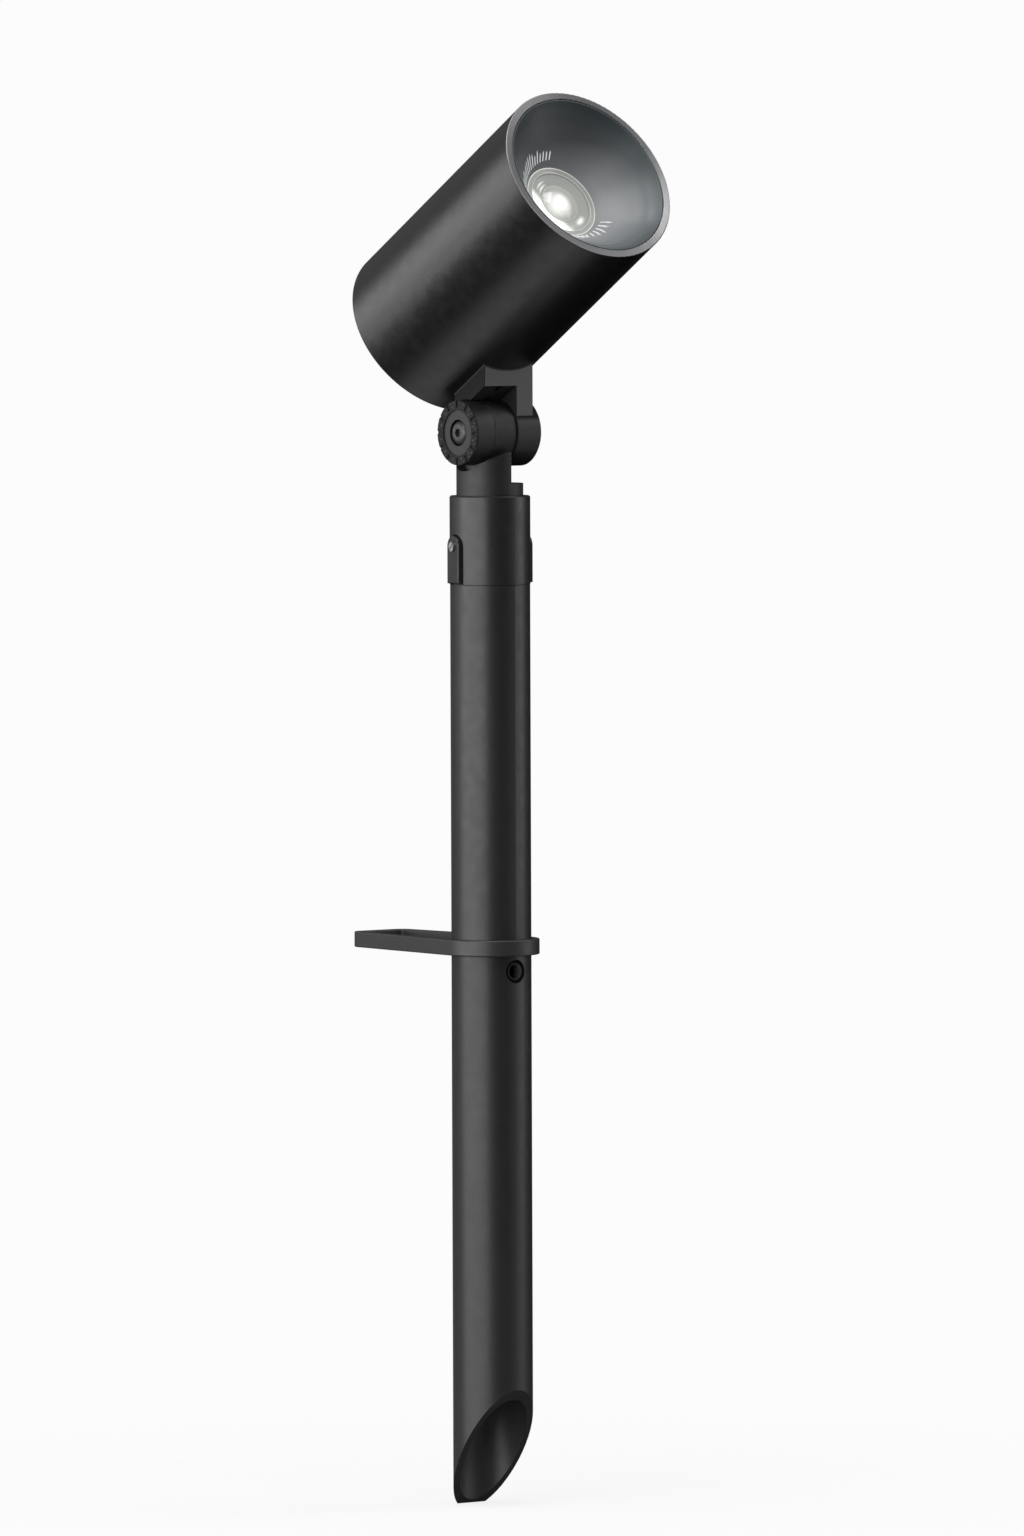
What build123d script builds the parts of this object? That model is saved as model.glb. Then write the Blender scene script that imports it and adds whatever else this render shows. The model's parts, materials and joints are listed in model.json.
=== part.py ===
from build123d import *
import os
from math import cos, radians, sin, sqrt, tan

# Landscape spotlight on a ground pole. It pans in the collar and tilts at the knuckle.
# Millimetres, +Z up. The origin is on the pole axis at ground level, under the step loop.
# The lamp head and the cable hole face +X, the tilt dial faces -Y, the step loop points to -X.

os.makedirs("parts", exist_ok=True)

# Fits
running_gap = 0.05  # radial, between a shaft and the bore that it turns in
seat_gap = 0.1  # between pieces that are slid together and stay together
face_gap = 0.1  # between flat faces that turn on each other
hole_gap = 0.2  # radial, round a screw or wire in a plain hole
break_edge = 0.4  # small chamfers and fillets
seal_groove = 1.2  # width of an O-ring's groove, as a share of its section

# Pole and ground spike
pole_d = 25.4
pole_wall = 2.0
pole_top = 117.3  # seam with the collar, above ground
spike_depth = 175.5
bevel_height = 37.5
tip_trim = 2.0  # how much of the bevel's sharp point is left off
cable_hole_d = 7.3  # at the pole's inner wall
cable_hole_taper = 1.5  # degrees; a punched hole widens on its way out
cable_hole_drop = 5.0  # centre below ground level

# Step loop
step_height = 5.0
step_strip = 2.8
step_reach = 59.6  # pole axis to the far end
step_end_width = 22.0
step_corner = 4.0
step_seat = 0.25  # depth of the shallow groove in the pole that the strip sits in

# Cable grommet
grommet_bore_d = 4.8
grommet_recess = 0.1  # outer face, behind the hole's sides
grommet_flange_lap = 1.6
grommet_flange = 1.3

# Collar
collar_d = 25.6
collar_wall = 2.15
collar_height = 28.2
collar_floor = 4.2
collar_spigot = 20.0
collar_lip_gap = 0.8  # dark ring round the stem
collar_lip_depth = 1.4
cable_bore_d = 12.4
seal_section = 1.6  # O-rings of the collar and the stem
collar_seal_drop = 9.0  # below the seam
stem_seal_drop = 4.5  # below the collar top

# Pan lock lugs and their screws
lug_turn = 7.5  # degrees that the pair is turned about the pole axis, from the Y axis
lug_width = 7.0
lug_thickness = 2.2
lug_proud = 1.0  # flat outer face, past the collar surface
lug_foot = 0.5  # lower end, above the seam
lug_screw_rise = 12.2  # screw axis above the seam, the centre of the rounding
lug_gap = 0.4
lock_screw_d = 3.0
lock_screw_proud = 0.6
lock_point_d = 2.0
lock_point = 0.9
lock_groove_depth = 1.1
lock_slot_width = 0.4
lock_slot_depth = 0.4
lock_slot_turn = 40.0  # degrees from level

# Stem and tilt knuckle
ledge_rise = 3.9  # above the collar top
tilt_rise = 20.0  # tilt axis above the collar top
neck_cut = 0.4  # the neck is cut flat here to clear the arm
neck_relief_r = 12.2  # the neck is cut back round the tilt axis
neck_core_d = 15.4  # what is left of it in the middle
barrel_d = 20.5
arm_barrel_d = 21.6
mid_from = -5.45  # dial seam, along Y
mid_to = 3.2  # arm seam, along Y
dial_width = 7.65
arm_barrel_width = 9.4
washer = 0.5
washer_inset = 0.35
wire_room_d = 10.0  # space for the wires round the pivot screw
mid_web = 3.0
neck_wire_d = 3.6

# Tilt dial
dial_face_d = 14.4  # inner disc, inside the raised scale ring
dial_raise = 0.45
scale_marks = 12
mark_width = 0.9
mark_length = 2.2  # inwards from the rim
mark_depth = 0.45
dowel_d = 2.0
dowel_length = 1.6
dowel_radius = 7.0

# Pivot screw and nut
pivot_d = 4.0
pivot_head_d = 7.6
pivot_head = 2.2
pivot_head_room = 0.4  # radial, round the head
pivot_crown = 1.5  # rounding of the head
pivot_head_sink = 2.1  # screw seat below the dial's inner disc
pivot_key = 2.5
pivot_key_depth = 1.3
nut_flats = 7.0
nut_thickness = 3.2
nut_sink = 0.6

# Saddle bracket
saddle_front = 9.4  # vertical front face, ahead of the tilt axis
saddle_rear = 6.1
saddle_near = 9.4  # towards the dial
saddle_far = 10.2
saddle_thickness = 4.0
relief_gap = 0.3  # under the saddle, over the knuckle barrels
gasket = 0.5
bracket_screw_d = 3.0
bracket_screw_head_d = 5.6
bracket_screw_head = 1.8
bracket_screw_bite = 2.4
bracket_screw_from = 7.6  # first screw along the head axis, from the foot of the tilt axis
bracket_screw_pitch = 6.6
bracket_screw_side = -2.5
wire_side = 6.4  # wire hole along Y
wire_lean = 18.0  # degrees forward of square to the head axis
wire_hole_d = 3.2
wire_seal_d = 4.8
wire_seal_flange = 1.0
wire_seal_lap = 0.7
wire_seal_bore = 2.4

# Lamp head
head_d = 60.6
head_wall = 2.6
head_length = 93.6
head_back = 7.3  # back end, behind the foot of the tilt axis
head_clear = 12.1  # housing surface from the tilt axis
head_elevation = 32.0  # at rest
boss_d = 8.0
boss_sink = 0.5  # how far a boss runs into the housing wall
boss_count = 3

# Baffle and lens
baffle_recess = 0.15
baffle_lip = 0.25  # wall left at the mouth
baffle_wall = 0.8
baffle_depth = 1.6  # along the axis
baffle_skirt = 6.0
lens_depth = 16.0  # bottom of the cone, behind the rim
lens_d = 25.0
lens_sink = 0.2  # lens face, behind the bottom of the cone
lens_groove_ratio = 0.86
lens_dome_ratio = 0.5
lens_dome = 1.7
lens_groove = 0.7
lens_flange = 1.6
lens_flange_lap = 1.7
lens_below = 8.0  # collimator under its flange
lens_foot_d = 13.0
lens_cavity_d = 7.2
lens_cavity = 4.0
lens_seal_thickness = 0.8
holder_wall = 1.2
lens_to_board = 1.5

# Light source and heat path
emitter_side = 6.4
emitter_base = 0.6
emitter_dome_d = 4.8
emitter_dome = 0.5
emitter_round = 0.4
board_gap = 0.8  # board edge to the spreader screws
board_thickness = 1.6
board_screw_count = 3
board_screw_d = 2.5
board_screw_head_d = 4.2
board_screw_head = 1.4
board_screw_inset = 2.5  # board left round each screw's centre
board_screw_clear = 1.0  # screw heads from the lens holder
spreader_thickness = 5.0
spreader_screw_d = 2.5
spreader_screw_head_d = 4.6
small_screw_head = 1.6
small_screw_bite = 6.0
small_key = 1.5
small_key_depth = 0.9

# Driver
driver_length = 34.0
driver_width = 34.0
driver_board_thickness = 1.6
rail_length = 30.0
rail_width = 3.2
rail_height = 5.0
rail_slot = 1.4
choke_d = 11.0
choke_height = 7.0
capacitor_d = 8.0
capacitor_length = 13.0
chip_side = 5.0
chip_height = 1.5
lead_d = 1.2
lead_side = 4.5
lead_overlap = 7.0  # of a lead on the driver board
lead_proud = 0.8

# Rear cap
rear_cap_thickness = 4.6
rear_cap_recess = 0.4
rear_seal_section = 1.4
rear_seal_lip = 0.5  # cap left in front of the O-ring's groove

# Worked out from the sizes above
pole_r = pole_d / 2
pole_bore_r = pole_r - pole_wall
step_seat_r = pole_r - step_seat
collar_r = collar_d / 2
cup_r = collar_r - collar_wall
stem_r = cup_r - running_gap
spigot_r = pole_bore_r - seat_gap
collar_top = pole_top + collar_height
cup_floor = pole_top + collar_floor
lug_face = collar_r + lug_proud
lug_seat = lug_face - lug_thickness
lug_screw_z = pole_top + lug_screw_rise
ledge_z = collar_top + ledge_rise
tilt_z = collar_top + tilt_rise
saddle_width = saddle_near + saddle_far
arm_barrel_to = mid_to + arm_barrel_width
arm_inner = mid_to + face_gap
head_r = head_d / 2
bore_r = head_r - head_wall
head_offset = head_clear + head_r
head_front = head_length - head_back
boss_ring_r = bore_r - boss_d / 2 + boss_sink
cap_back = rear_cap_recess - head_back
cap_front = cap_back + rear_cap_thickness
lens_r = lens_d / 2
lens_edge = head_front - lens_depth
baffle_foot = lens_edge - baffle_depth
lens_flange_r = lens_r + lens_flange_lap
lens_flange_top = baffle_foot - lens_seal_thickness
lens_flange_foot = lens_flange_top - lens_flange
lens_foot = lens_flange_foot - lens_below
holder_in = lens_flange_r + seat_gap
holder_r = holder_in + holder_wall
board_front = lens_foot - lens_to_board
board_back = board_front - board_thickness
spreader_back = board_back - spreader_thickness
board_r = boss_ring_r - spreader_screw_head_d / 2 - board_gap
board_screw_r = holder_r + board_screw_clear + board_screw_head_d / 2
driver_to = spreader_back - seat_gap

# Directions of the lamp head at rest, and the planes that its pieces stand on
beam_x = cos(radians(head_elevation))
beam_z = sin(radians(head_elevation))
beam = Vector(beam_x, 0, beam_z)
lift = Vector(-beam_z, 0, beam_x)
pivot = Vector(0, 0, tilt_z)
head_foot = pivot + lift * head_offset
head_axis = Axis(head_foot, beam)
head_section = Plane(head_foot, x_dir=lift, z_dir=(0, 1, 0))
pole_section = Plane((0, 0, 0), x_dir=(1, 0, 0), z_dir=(0, -1, 0))
tilt_section = Plane(pivot, x_dir=(0, 0, 1), z_dir=(-1, 0, 0))
cable_plane = Plane((0, 0, -cable_hole_drop), x_dir=(0, 1, 0), z_dir=(1, 0, 0))
wire_way = beam * sin(radians(wire_lean)) + lift * cos(radians(wire_lean))
wire_plane = Plane(pivot + Vector(0, wire_side, 0), x_dir=(0, 1, 0), z_dir=wire_way)


def head_plane(place):
    # square to the head axis: local x is +Y, local y is up out of the bracket
    return Plane(head_foot + beam * place, x_dir=(0, 1, 0), z_dir=beam)


def side_plane(y):
    # square to the tilt axis, centred on it: local x is +X, local y is +Z, facing -Y
    return Plane((0, y, tilt_z), x_dir=(1, 0, 0), z_dir=(0, -1, 0))


def lug_plane(side, out=0, z=0):
    # at a distance from the pole axis, facing out through one of the two lugs
    way = Vector(side * sin(radians(lug_turn)), side * cos(radians(lug_turn)), 0)
    return Plane(way * out + Vector(0, 0, z), x_dir=(-way.Y, way.X, 0), z_dir=way)


def boss_places():
    return PolarLocations(boss_ring_r, boss_count, start_angle=90)


def board_screw_places():
    return PolarLocations(board_screw_r, board_screw_count, start_angle=30)


def bracket_screw_plane(index):
    # on the housing's inner wall, facing into the head
    along = beam * (bracket_screw_from + index * bracket_screw_pitch)
    depth = lift * (head_offset - sqrt(bore_r**2 - bracket_screw_side**2))
    return Plane(pivot + along + depth + Vector(0, bracket_screw_side, 0), x_dir=(0, 1, 0), z_dir=lift)


def saddle_z(x, clear):
    # height over the tilt axis of a line parallel to the head axis, at a distance from the tilt axis
    return (clear + x * beam_z) / beam_x


def wire_reach(wall_r, disc_r):
    # how far along the wire way a disc of a radius clears a wall round the head axis
    highest = head_offset - sqrt(wall_r**2 - (wire_side + disc_r) ** 2)
    return highest / cos(radians(wire_lean)) + disc_r * tan(radians(wire_lean))


def turn(section, axis, points, mode=Mode.ADD):
    # turns a closed outline of (radius, place) points about an axis
    with BuildSketch(section) as profile:
        with BuildLine():
            Polyline(*points, close=True)
        make_face()
    revolve(profile.sketch, axis=axis, mode=mode)


def disc(plane, diameter, amount, mode=Mode.ADD, bore=0):
    # a round disc or ring on a plane
    with BuildSketch(plane) as profile:
        Circle(diameter / 2)
        if bore:
            Circle(bore / 2, mode=Mode.SUBTRACT)
    extrude(profile.sketch, amount=amount, mode=mode)


def discs(plane, places, diameter, amount, mode=Mode.ADD):
    # the same disc at each of a set of places on a plane
    with BuildSketch(plane) as profile:
        with places:
            Circle(diameter / 2)
    extrude(profile.sketch, amount=amount, mode=mode)


def key_sockets(plane, places, flats, depth):
    with BuildSketch(plane) as profile:
        with places:
            RegularPolygon(flats / 2, 6, major_radius=False)
    extrude(profile.sketch, amount=-depth, mode=Mode.SUBTRACT)


def lug_outline(side, grow, foot):
    with BuildSketch(lug_plane(side, lug_seat)) as outline:
        with Locations((0, lug_screw_z)):
            Circle(lug_width / 2 + grow)
        with Locations((0, (lug_screw_z + foot) / 2)):
            Rectangle(lug_width + 2 * grow, lug_screw_z - foot)
    return outline.sketch


def save(piece, name):
    piece.part.label = name
    export_step(piece.part, f"parts/{name}.step")


# Pole, cut to a point by one slanted plane that faces the front
with BuildPart() as spike_pole:
    disc(Plane.XY.offset(-spike_depth), pole_d, spike_depth + pole_top, bore=2 * pole_bore_r)
    bevel_top = bevel_height - spike_depth
    bevel_normal = (-bevel_height - tip_trim, 0, pole_d)
    split(bisect_by=Plane((pole_r, 0, bevel_top), z_dir=bevel_normal), keep=Keep.TOP)
    hole_foot = sqrt(pole_bore_r**2 - (cable_hole_d / 2) ** 2)
    with BuildSketch(cable_plane.offset(hole_foot)):
        Circle(cable_hole_d / 2)
    extrude(amount=pole_r, taper=-cable_hole_taper, mode=Mode.SUBTRACT)
    disc(Plane.XY, 2 * pole_d, step_height, mode=Mode.SUBTRACT, bore=2 * step_seat_r)
save(spike_pole, "spike_pole")

# Step loop: a flat strip bent round the front of the pole and out to a straight end
with BuildPart() as step_loop:
    loop_ring_r = step_seat_r + seat_gap / 2 + step_strip
    corner_x = step_corner - step_reach
    corner_y = step_end_width / 2 - step_corner
    with BuildSketch() as loop_outer:
        Circle(loop_ring_r)
        with Locations((corner_x, corner_y), (corner_x, -corner_y)):
            Circle(step_corner)
        make_hull()
    with BuildSketch() as loop_inner:
        Circle(loop_ring_r - step_strip)
        with Locations((corner_x, corner_y), (corner_x, -corner_y)):
            Circle(step_corner - step_strip)
        make_hull()
    extrude(loop_outer.sketch, amount=step_height)
    extrude(loop_inner.sketch, amount=step_height, mode=Mode.SUBTRACT)
    fillet(step_loop.faces().filter_by(Axis.Z).edges(), break_edge)
save(step_loop, "step_loop")

# Rubber grommet in the cable hole, with a flange inside the pole
with BuildPart() as cable_grommet:
    grommet_d = cable_hole_d - seat_gap
    flange_r = cable_hole_d / 2 + grommet_flange_lap
    flange_seat = sqrt(pole_bore_r**2 - flange_r**2) - seat_gap
    grommet_face = sqrt(pole_r**2 - (cable_hole_d / 2) ** 2) - grommet_recess
    disc(cable_plane.offset(flange_seat - grommet_flange), 2 * flange_r, grommet_flange)
    disc(cable_plane.offset(flange_seat), grommet_d, grommet_face - flange_seat)
    disc(cable_plane, grommet_bore_d, pole_d, mode=Mode.SUBTRACT)
save(cable_grommet, "cable_grommet")

# Collar: a cup for the stem above the seam, and a spigot in the pole below it
with BuildPart() as pole_collar:
    cable_r = cable_bore_d / 2
    lip_r = cup_r + collar_lip_gap
    lip_floor = collar_top - collar_lip_depth
    spigot_foot = pole_top - collar_spigot
    collar_points = [
        (cable_r, spigot_foot),
        (spigot_r, spigot_foot),
        (spigot_r, pole_top),
        (collar_r - break_edge / 2, pole_top),
        (collar_r, pole_top + break_edge / 2),
        (collar_r, collar_top - break_edge),
        (collar_r - break_edge, collar_top),
        (lip_r, collar_top),
        (lip_r, lip_floor),
        (cup_r, lip_floor),
        (cup_r, cup_floor),
        (cable_r, cup_floor),
    ]
    turn(pole_section, Axis.Z, collar_points)
    collar_seal_z = pole_top - collar_seal_drop
    collar_groove_r = pole_bore_r - seal_section - seat_gap / 2
    seal_width = seal_section * seal_groove
    groove_plane = Plane.XY.offset(collar_seal_z - seal_width / 2)
    disc(groove_plane, pole_d, seal_width, mode=Mode.SUBTRACT, bore=2 * collar_groove_r)
    for side in (-1, 1):
        extrude(lug_outline(side, lug_gap, pole_top), amount=collar_r, mode=Mode.SUBTRACT)
        lock_hole = lug_plane(side, z=lug_screw_z)
        disc(lock_hole, lock_screw_d + 2 * hole_gap, collar_r, mode=Mode.SUBTRACT)
save(pole_collar, "pole_collar")

with BuildPart(Plane.XY.offset(collar_seal_z)) as collar_seal:
    Torus(pole_bore_r - seal_section / 2 - seat_gap / 4, seal_section / 2)
save(collar_seal, "collar_seal")

# Two lugs with round tops in the collar's pockets, and the screws that lock the pan
with BuildPart() as lock_lugs:
    for side in (-1, 1):
        extrude(lug_outline(side, 0, pole_top + lug_foot), amount=lug_thickness)
    lug_axis = Axis((0, 0, 0), lug_plane(1).z_dir)
    fillet(lock_lugs.faces().filter_by(lug_axis).edges(), break_edge)
    for side in (-1, 1):
        lock_hole = lug_plane(side, z=lug_screw_z)
        disc(lock_hole, lock_screw_d + seat_gap, 2 * collar_r, mode=Mode.SUBTRACT)
save(lock_lugs, "lock_lugs")

with BuildPart() as lock_screws:
    groove_r = stem_r - lock_groove_depth
    point_from = groove_r + hole_gap
    thread_from = point_from + lock_point
    lock_face = lug_face + lock_screw_proud
    for side in (-1, 1):
        lock_plane = lug_plane(side, z=lug_screw_z)
        disc(lock_plane.offset(point_from), lock_point_d, lock_point)
        disc(lock_plane.offset(thread_from), lock_screw_d, lock_face - thread_from)
        with BuildSketch(lock_plane.offset(lock_face)):
            Rectangle(2 * lock_screw_d, lock_slot_width, rotation=lock_slot_turn)
        extrude(amount=-lock_slot_depth, mode=Mode.SUBTRACT)
save(lock_screws, "lock_screws")

# Stem: turns in the collar, with a neck cut flat beside the arm and the middle barrel on top
with BuildPart() as knuckle_stem:
    stem_foot = cup_floor + face_gap
    stem_points = [
        (0, stem_foot),
        (stem_r - break_edge, stem_foot),
        (stem_r, stem_foot + break_edge),
        (stem_r, tilt_z),
        (0, tilt_z),
    ]
    turn(pole_section, Axis.Z, stem_points)
    disc(side_plane(collar_r), 2 * neck_relief_r, collar_d, mode=Mode.SUBTRACT)
    disc(Plane.XY.offset(ledge_z), neck_core_d, tilt_z - ledge_z)
    with BuildSketch(Plane.XY.offset(ledge_z)):
        with Locations((0, neck_cut)):
            Rectangle(collar_d, collar_d, align=(Align.CENTER, Align.MIN))
    extrude(amount=tilt_rise, mode=Mode.SUBTRACT)
    disc(side_plane(mid_from), barrel_d + 2 * seat_gap, dial_width, mode=Mode.SUBTRACT)
    mid_face = mid_to - washer
    barrel_r = barrel_d / 2
    barrel_points = [
        (0, mid_from),
        (barrel_r - break_edge / 2, mid_from),
        (barrel_r, mid_from + break_edge / 2),
        (barrel_r, mid_face),
        (0, mid_face),
    ]
    turn(tilt_section, Axis(pivot, (0, 1, 0)), barrel_points)
    disc(side_plane(mid_face), wire_room_d, mid_face - mid_from - mid_web, mode=Mode.SUBTRACT)
    disc(side_plane(mid_face), pivot_d + 2 * running_gap, mid_face - mid_from, mode=Mode.SUBTRACT)
    dowel_places = Locations((-dowel_radius, 0), (dowel_radius, 0))
    dowel_plane = side_plane(mid_from + dowel_length + seat_gap)
    discs(dowel_plane, dowel_places, dowel_d + seat_gap, dowel_length + seat_gap, mode=Mode.SUBTRACT)
    disc(Plane.XY.offset(stem_foot), cable_bore_d, ledge_z - stem_foot, mode=Mode.SUBTRACT)
    neck_wire_y = neck_cut - neck_wire_d / 2 - break_edge
    neck_wire_plane = Plane((0, neck_wire_y, stem_foot))
    disc(neck_wire_plane, neck_wire_d, tilt_z - stem_foot, mode=Mode.SUBTRACT)
    lock_groove_plane = Plane.XY.offset(lug_screw_z - lock_point_d / 2 - hole_gap)
    lock_groove_width = lock_point_d + 2 * hole_gap
    disc(lock_groove_plane, collar_d, lock_groove_width, mode=Mode.SUBTRACT, bore=2 * groove_r)
    stem_seal_z = collar_top - stem_seal_drop
    stem_groove_r = cup_r - running_gap - seal_section - seat_gap / 2
    seal_plane = Plane.XY.offset(stem_seal_z - seal_width / 2)
    disc(seal_plane, collar_d, seal_width, mode=Mode.SUBTRACT, bore=2 * stem_groove_r)
save(knuckle_stem, "knuckle_stem")

with BuildPart(Plane.XY.offset(stem_seal_z)) as stem_seal:
    Torus(cup_r - running_gap - seal_section / 2, seal_section / 2)
save(stem_seal, "stem_seal")

# Tilt dial, fixed to the stem by two dowels, with a raised ring of scale marks round the screw
with BuildPart() as tilt_dial:
    dial_plane = side_plane(mid_from)
    disc(dial_plane, barrel_d, dial_width)
    rims = tilt_dial.edges().filter_by(GeomType.CIRCLE)
    chamfer(rims, break_edge / 2)
    disc(dial_plane.offset(dial_width - dial_raise), dial_face_d, dial_raise, mode=Mode.SUBTRACT)
    with BuildSketch(dial_plane.offset(dial_width)):
        with PolarLocations(barrel_d / 2, scale_marks):
            Rectangle(2 * mark_length, mark_width)
    extrude(amount=-mark_depth, mode=Mode.SUBTRACT)
    screw_seat = dial_width - dial_raise - pivot_head_sink
    disc(dial_plane.offset(screw_seat), pivot_head_d + 2 * pivot_head_room, dial_width, mode=Mode.SUBTRACT)
    disc(dial_plane, pivot_d + 2 * running_gap, dial_width, mode=Mode.SUBTRACT)
    discs(dial_plane, dowel_places, dowel_d, -dowel_length)
save(tilt_dial, "tilt_dial")

with BuildPart() as friction_washer:
    washer_d = barrel_d - 2 * washer_inset
    disc(side_plane(mid_to), washer_d, washer, bore=wire_room_d)
save(friction_washer, "friction_washer")

# Saddle bracket: a bar under the housing, one arm beside the knuckle, and the arm barrel
with BuildPart() as saddle_bracket:
    saddle_clear = head_clear - gasket
    saddle_under = saddle_clear - saddle_thickness
    bar_points = [
        (-saddle_rear, saddle_z(-saddle_rear, saddle_under)),
        (saddle_front, saddle_z(saddle_front, saddle_under)),
        (saddle_front, saddle_z(saddle_front, head_offset)),
        (-saddle_rear, saddle_z(-saddle_rear, head_offset)),
    ]
    arm_points = [
        (-saddle_rear, 0),
        (saddle_front, 0),
        (saddle_front, saddle_z(saddle_front, saddle_clear)),
        (-saddle_rear, saddle_z(-saddle_rear, saddle_clear)),
    ]
    with BuildSketch(side_plane(saddle_far)):
        with BuildLine():
            Polyline(*bar_points, close=True)
        make_face()
    extrude(amount=saddle_width)
    relief_d = barrel_d + 2 * relief_gap
    disc(side_plane(saddle_far), relief_d, saddle_width, mode=Mode.SUBTRACT)
    with BuildSketch(side_plane(saddle_far)):
        with BuildLine():
            Polyline(*arm_points, close=True)
        make_face()
    extrude(amount=saddle_far - arm_inner)
    fillet(saddle_bracket.edges().filter_by(Axis.Z), break_edge)
    disc(side_plane(arm_barrel_to), arm_barrel_d, arm_barrel_to - arm_inner)
    barrel_end = saddle_bracket.faces().sort_by(Axis.Y)[-1]
    chamfer(barrel_end.edges(), break_edge)
    disc(head_plane(-head_length), 2 * (head_r + gasket), 2 * head_length, mode=Mode.SUBTRACT)
    nut_seat = arm_barrel_to - nut_sink - nut_thickness - seat_gap
    wire_room = nut_seat - arm_inner - nut_thickness / 2
    disc(side_plane(arm_inner + wire_room), wire_room_d, wire_room, mode=Mode.SUBTRACT)
    disc(side_plane(arm_barrel_to), pivot_d + seat_gap, arm_barrel_width, mode=Mode.SUBTRACT)
    with BuildSketch(side_plane(arm_barrel_to)):
        RegularPolygon(nut_flats / 2 + seat_gap, 6, major_radius=False)
    extrude(amount=arm_barrel_to - nut_seat, mode=Mode.SUBTRACT)
    disc(wire_plane, wire_hole_d, head_offset, mode=Mode.SUBTRACT)
    for index in range(2):
        bracket_hole_d = bracket_screw_d + seat_gap
        disc(bracket_screw_plane(index), bracket_hole_d, -head_clear, mode=Mode.SUBTRACT)
save(saddle_bracket, "saddle_bracket")

# Thin gasket between the saddle and the housing
with BuildPart() as saddle_gasket:
    disc(head_plane(-head_length), 2 * (head_r + gasket), 2 * head_length, bore=head_d)
    with BuildSketch(side_plane(saddle_far)):
        with BuildLine():
            Polyline(*bar_points, close=True)
        make_face()
    extrude(amount=saddle_width, mode=Mode.INTERSECT)
    disc(wire_plane, wire_seal_d, head_offset, mode=Mode.SUBTRACT)
    for index in range(2):
        gasket_hole_d = bracket_screw_d + 2 * hole_gap
        disc(bracket_screw_plane(index), gasket_hole_d, -head_clear, mode=Mode.SUBTRACT)
save(saddle_gasket, "saddle_gasket")

with BuildPart() as bracket_screws:
    for index in range(2):
        seat = bracket_screw_plane(index)
        disc(seat, bracket_screw_head_d, bracket_screw_head)
        disc(seat, bracket_screw_d, -head_wall - gasket - bracket_screw_bite)
        key_sockets(seat.offset(bracket_screw_head), Locations((0, 0)), small_key, small_key_depth)
save(bracket_screws, "bracket_screws")

# Pivot screw through the dial, the middle barrel and the arm barrel, and its nut
with BuildPart() as pivot_screw:
    pivot_seat = dial_plane.offset(screw_seat + face_gap)
    pivot_length = nut_seat + seat_gap + nut_thickness - mid_from + screw_seat + face_gap
    disc(pivot_seat, pivot_head_d, pivot_head)
    crown = pivot_screw.edges().filter_by(GeomType.CIRCLE).sort_by(Axis.Y)[:1]
    fillet(crown, pivot_crown)
    disc(pivot_seat, pivot_d, -pivot_length)
    key_sockets(pivot_seat.offset(pivot_head), Locations((0, 0)), pivot_key, pivot_key_depth)
save(pivot_screw, "pivot_screw")

with BuildPart() as pivot_nut:
    with BuildSketch(side_plane(nut_seat + seat_gap)):
        RegularPolygon(nut_flats / 2, 6, major_radius=False)
        Circle((pivot_d + seat_gap) / 2, mode=Mode.SUBTRACT)
    extrude(amount=-nut_thickness)
save(pivot_nut, "pivot_nut")

# Lamp housing: a tube with three bosses that carry the heat spreader and the rear cap
with BuildPart() as head_housing:
    disc(head_plane(-head_back), head_d, head_length, bore=2 * bore_r)
    rims = head_housing.edges().filter_by(GeomType.CIRCLE)
    fillet(rims, break_edge)
    discs(head_plane(cap_front), boss_places(), boss_d, spreader_back - cap_front)
    rear_hole = head_plane(cap_front)
    discs(rear_hole, boss_places(), spreader_screw_d + seat_gap, head_length, mode=Mode.SUBTRACT)
    disc(wire_plane, wire_seal_d, head_offset, mode=Mode.SUBTRACT)
    for index in range(2):
        seat = bracket_screw_plane(index)
        disc(seat, bracket_screw_d + 2 * hole_gap, -head_clear, mode=Mode.SUBTRACT)
        disc(seat, bracket_screw_head_d + 2 * hole_gap, 2 * bracket_screw_head, mode=Mode.SUBTRACT)
save(head_housing, "head_housing")

# Grey cone in the mouth, down to the lens
with BuildPart() as anti_glare_baffle:
    mouth = head_front - baffle_recess
    skirt_r = bore_r - seat_gap
    skirt_inner_r = skirt_r - baffle_wall
    cone_r = lens_r + seat_gap
    baffle_points = [
        (skirt_r - baffle_lip, mouth),
        (cone_r, lens_edge),
        (cone_r, baffle_foot),
        (lens_flange_r, baffle_foot),
        (skirt_inner_r, mouth - baffle_skirt + baffle_depth),
        (skirt_inner_r, mouth - baffle_skirt),
        (skirt_r, mouth - baffle_skirt),
        (skirt_r, mouth),
    ]
    turn(head_section, head_axis, baffle_points)
save(anti_glare_baffle, "anti_glare_baffle")

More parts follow.
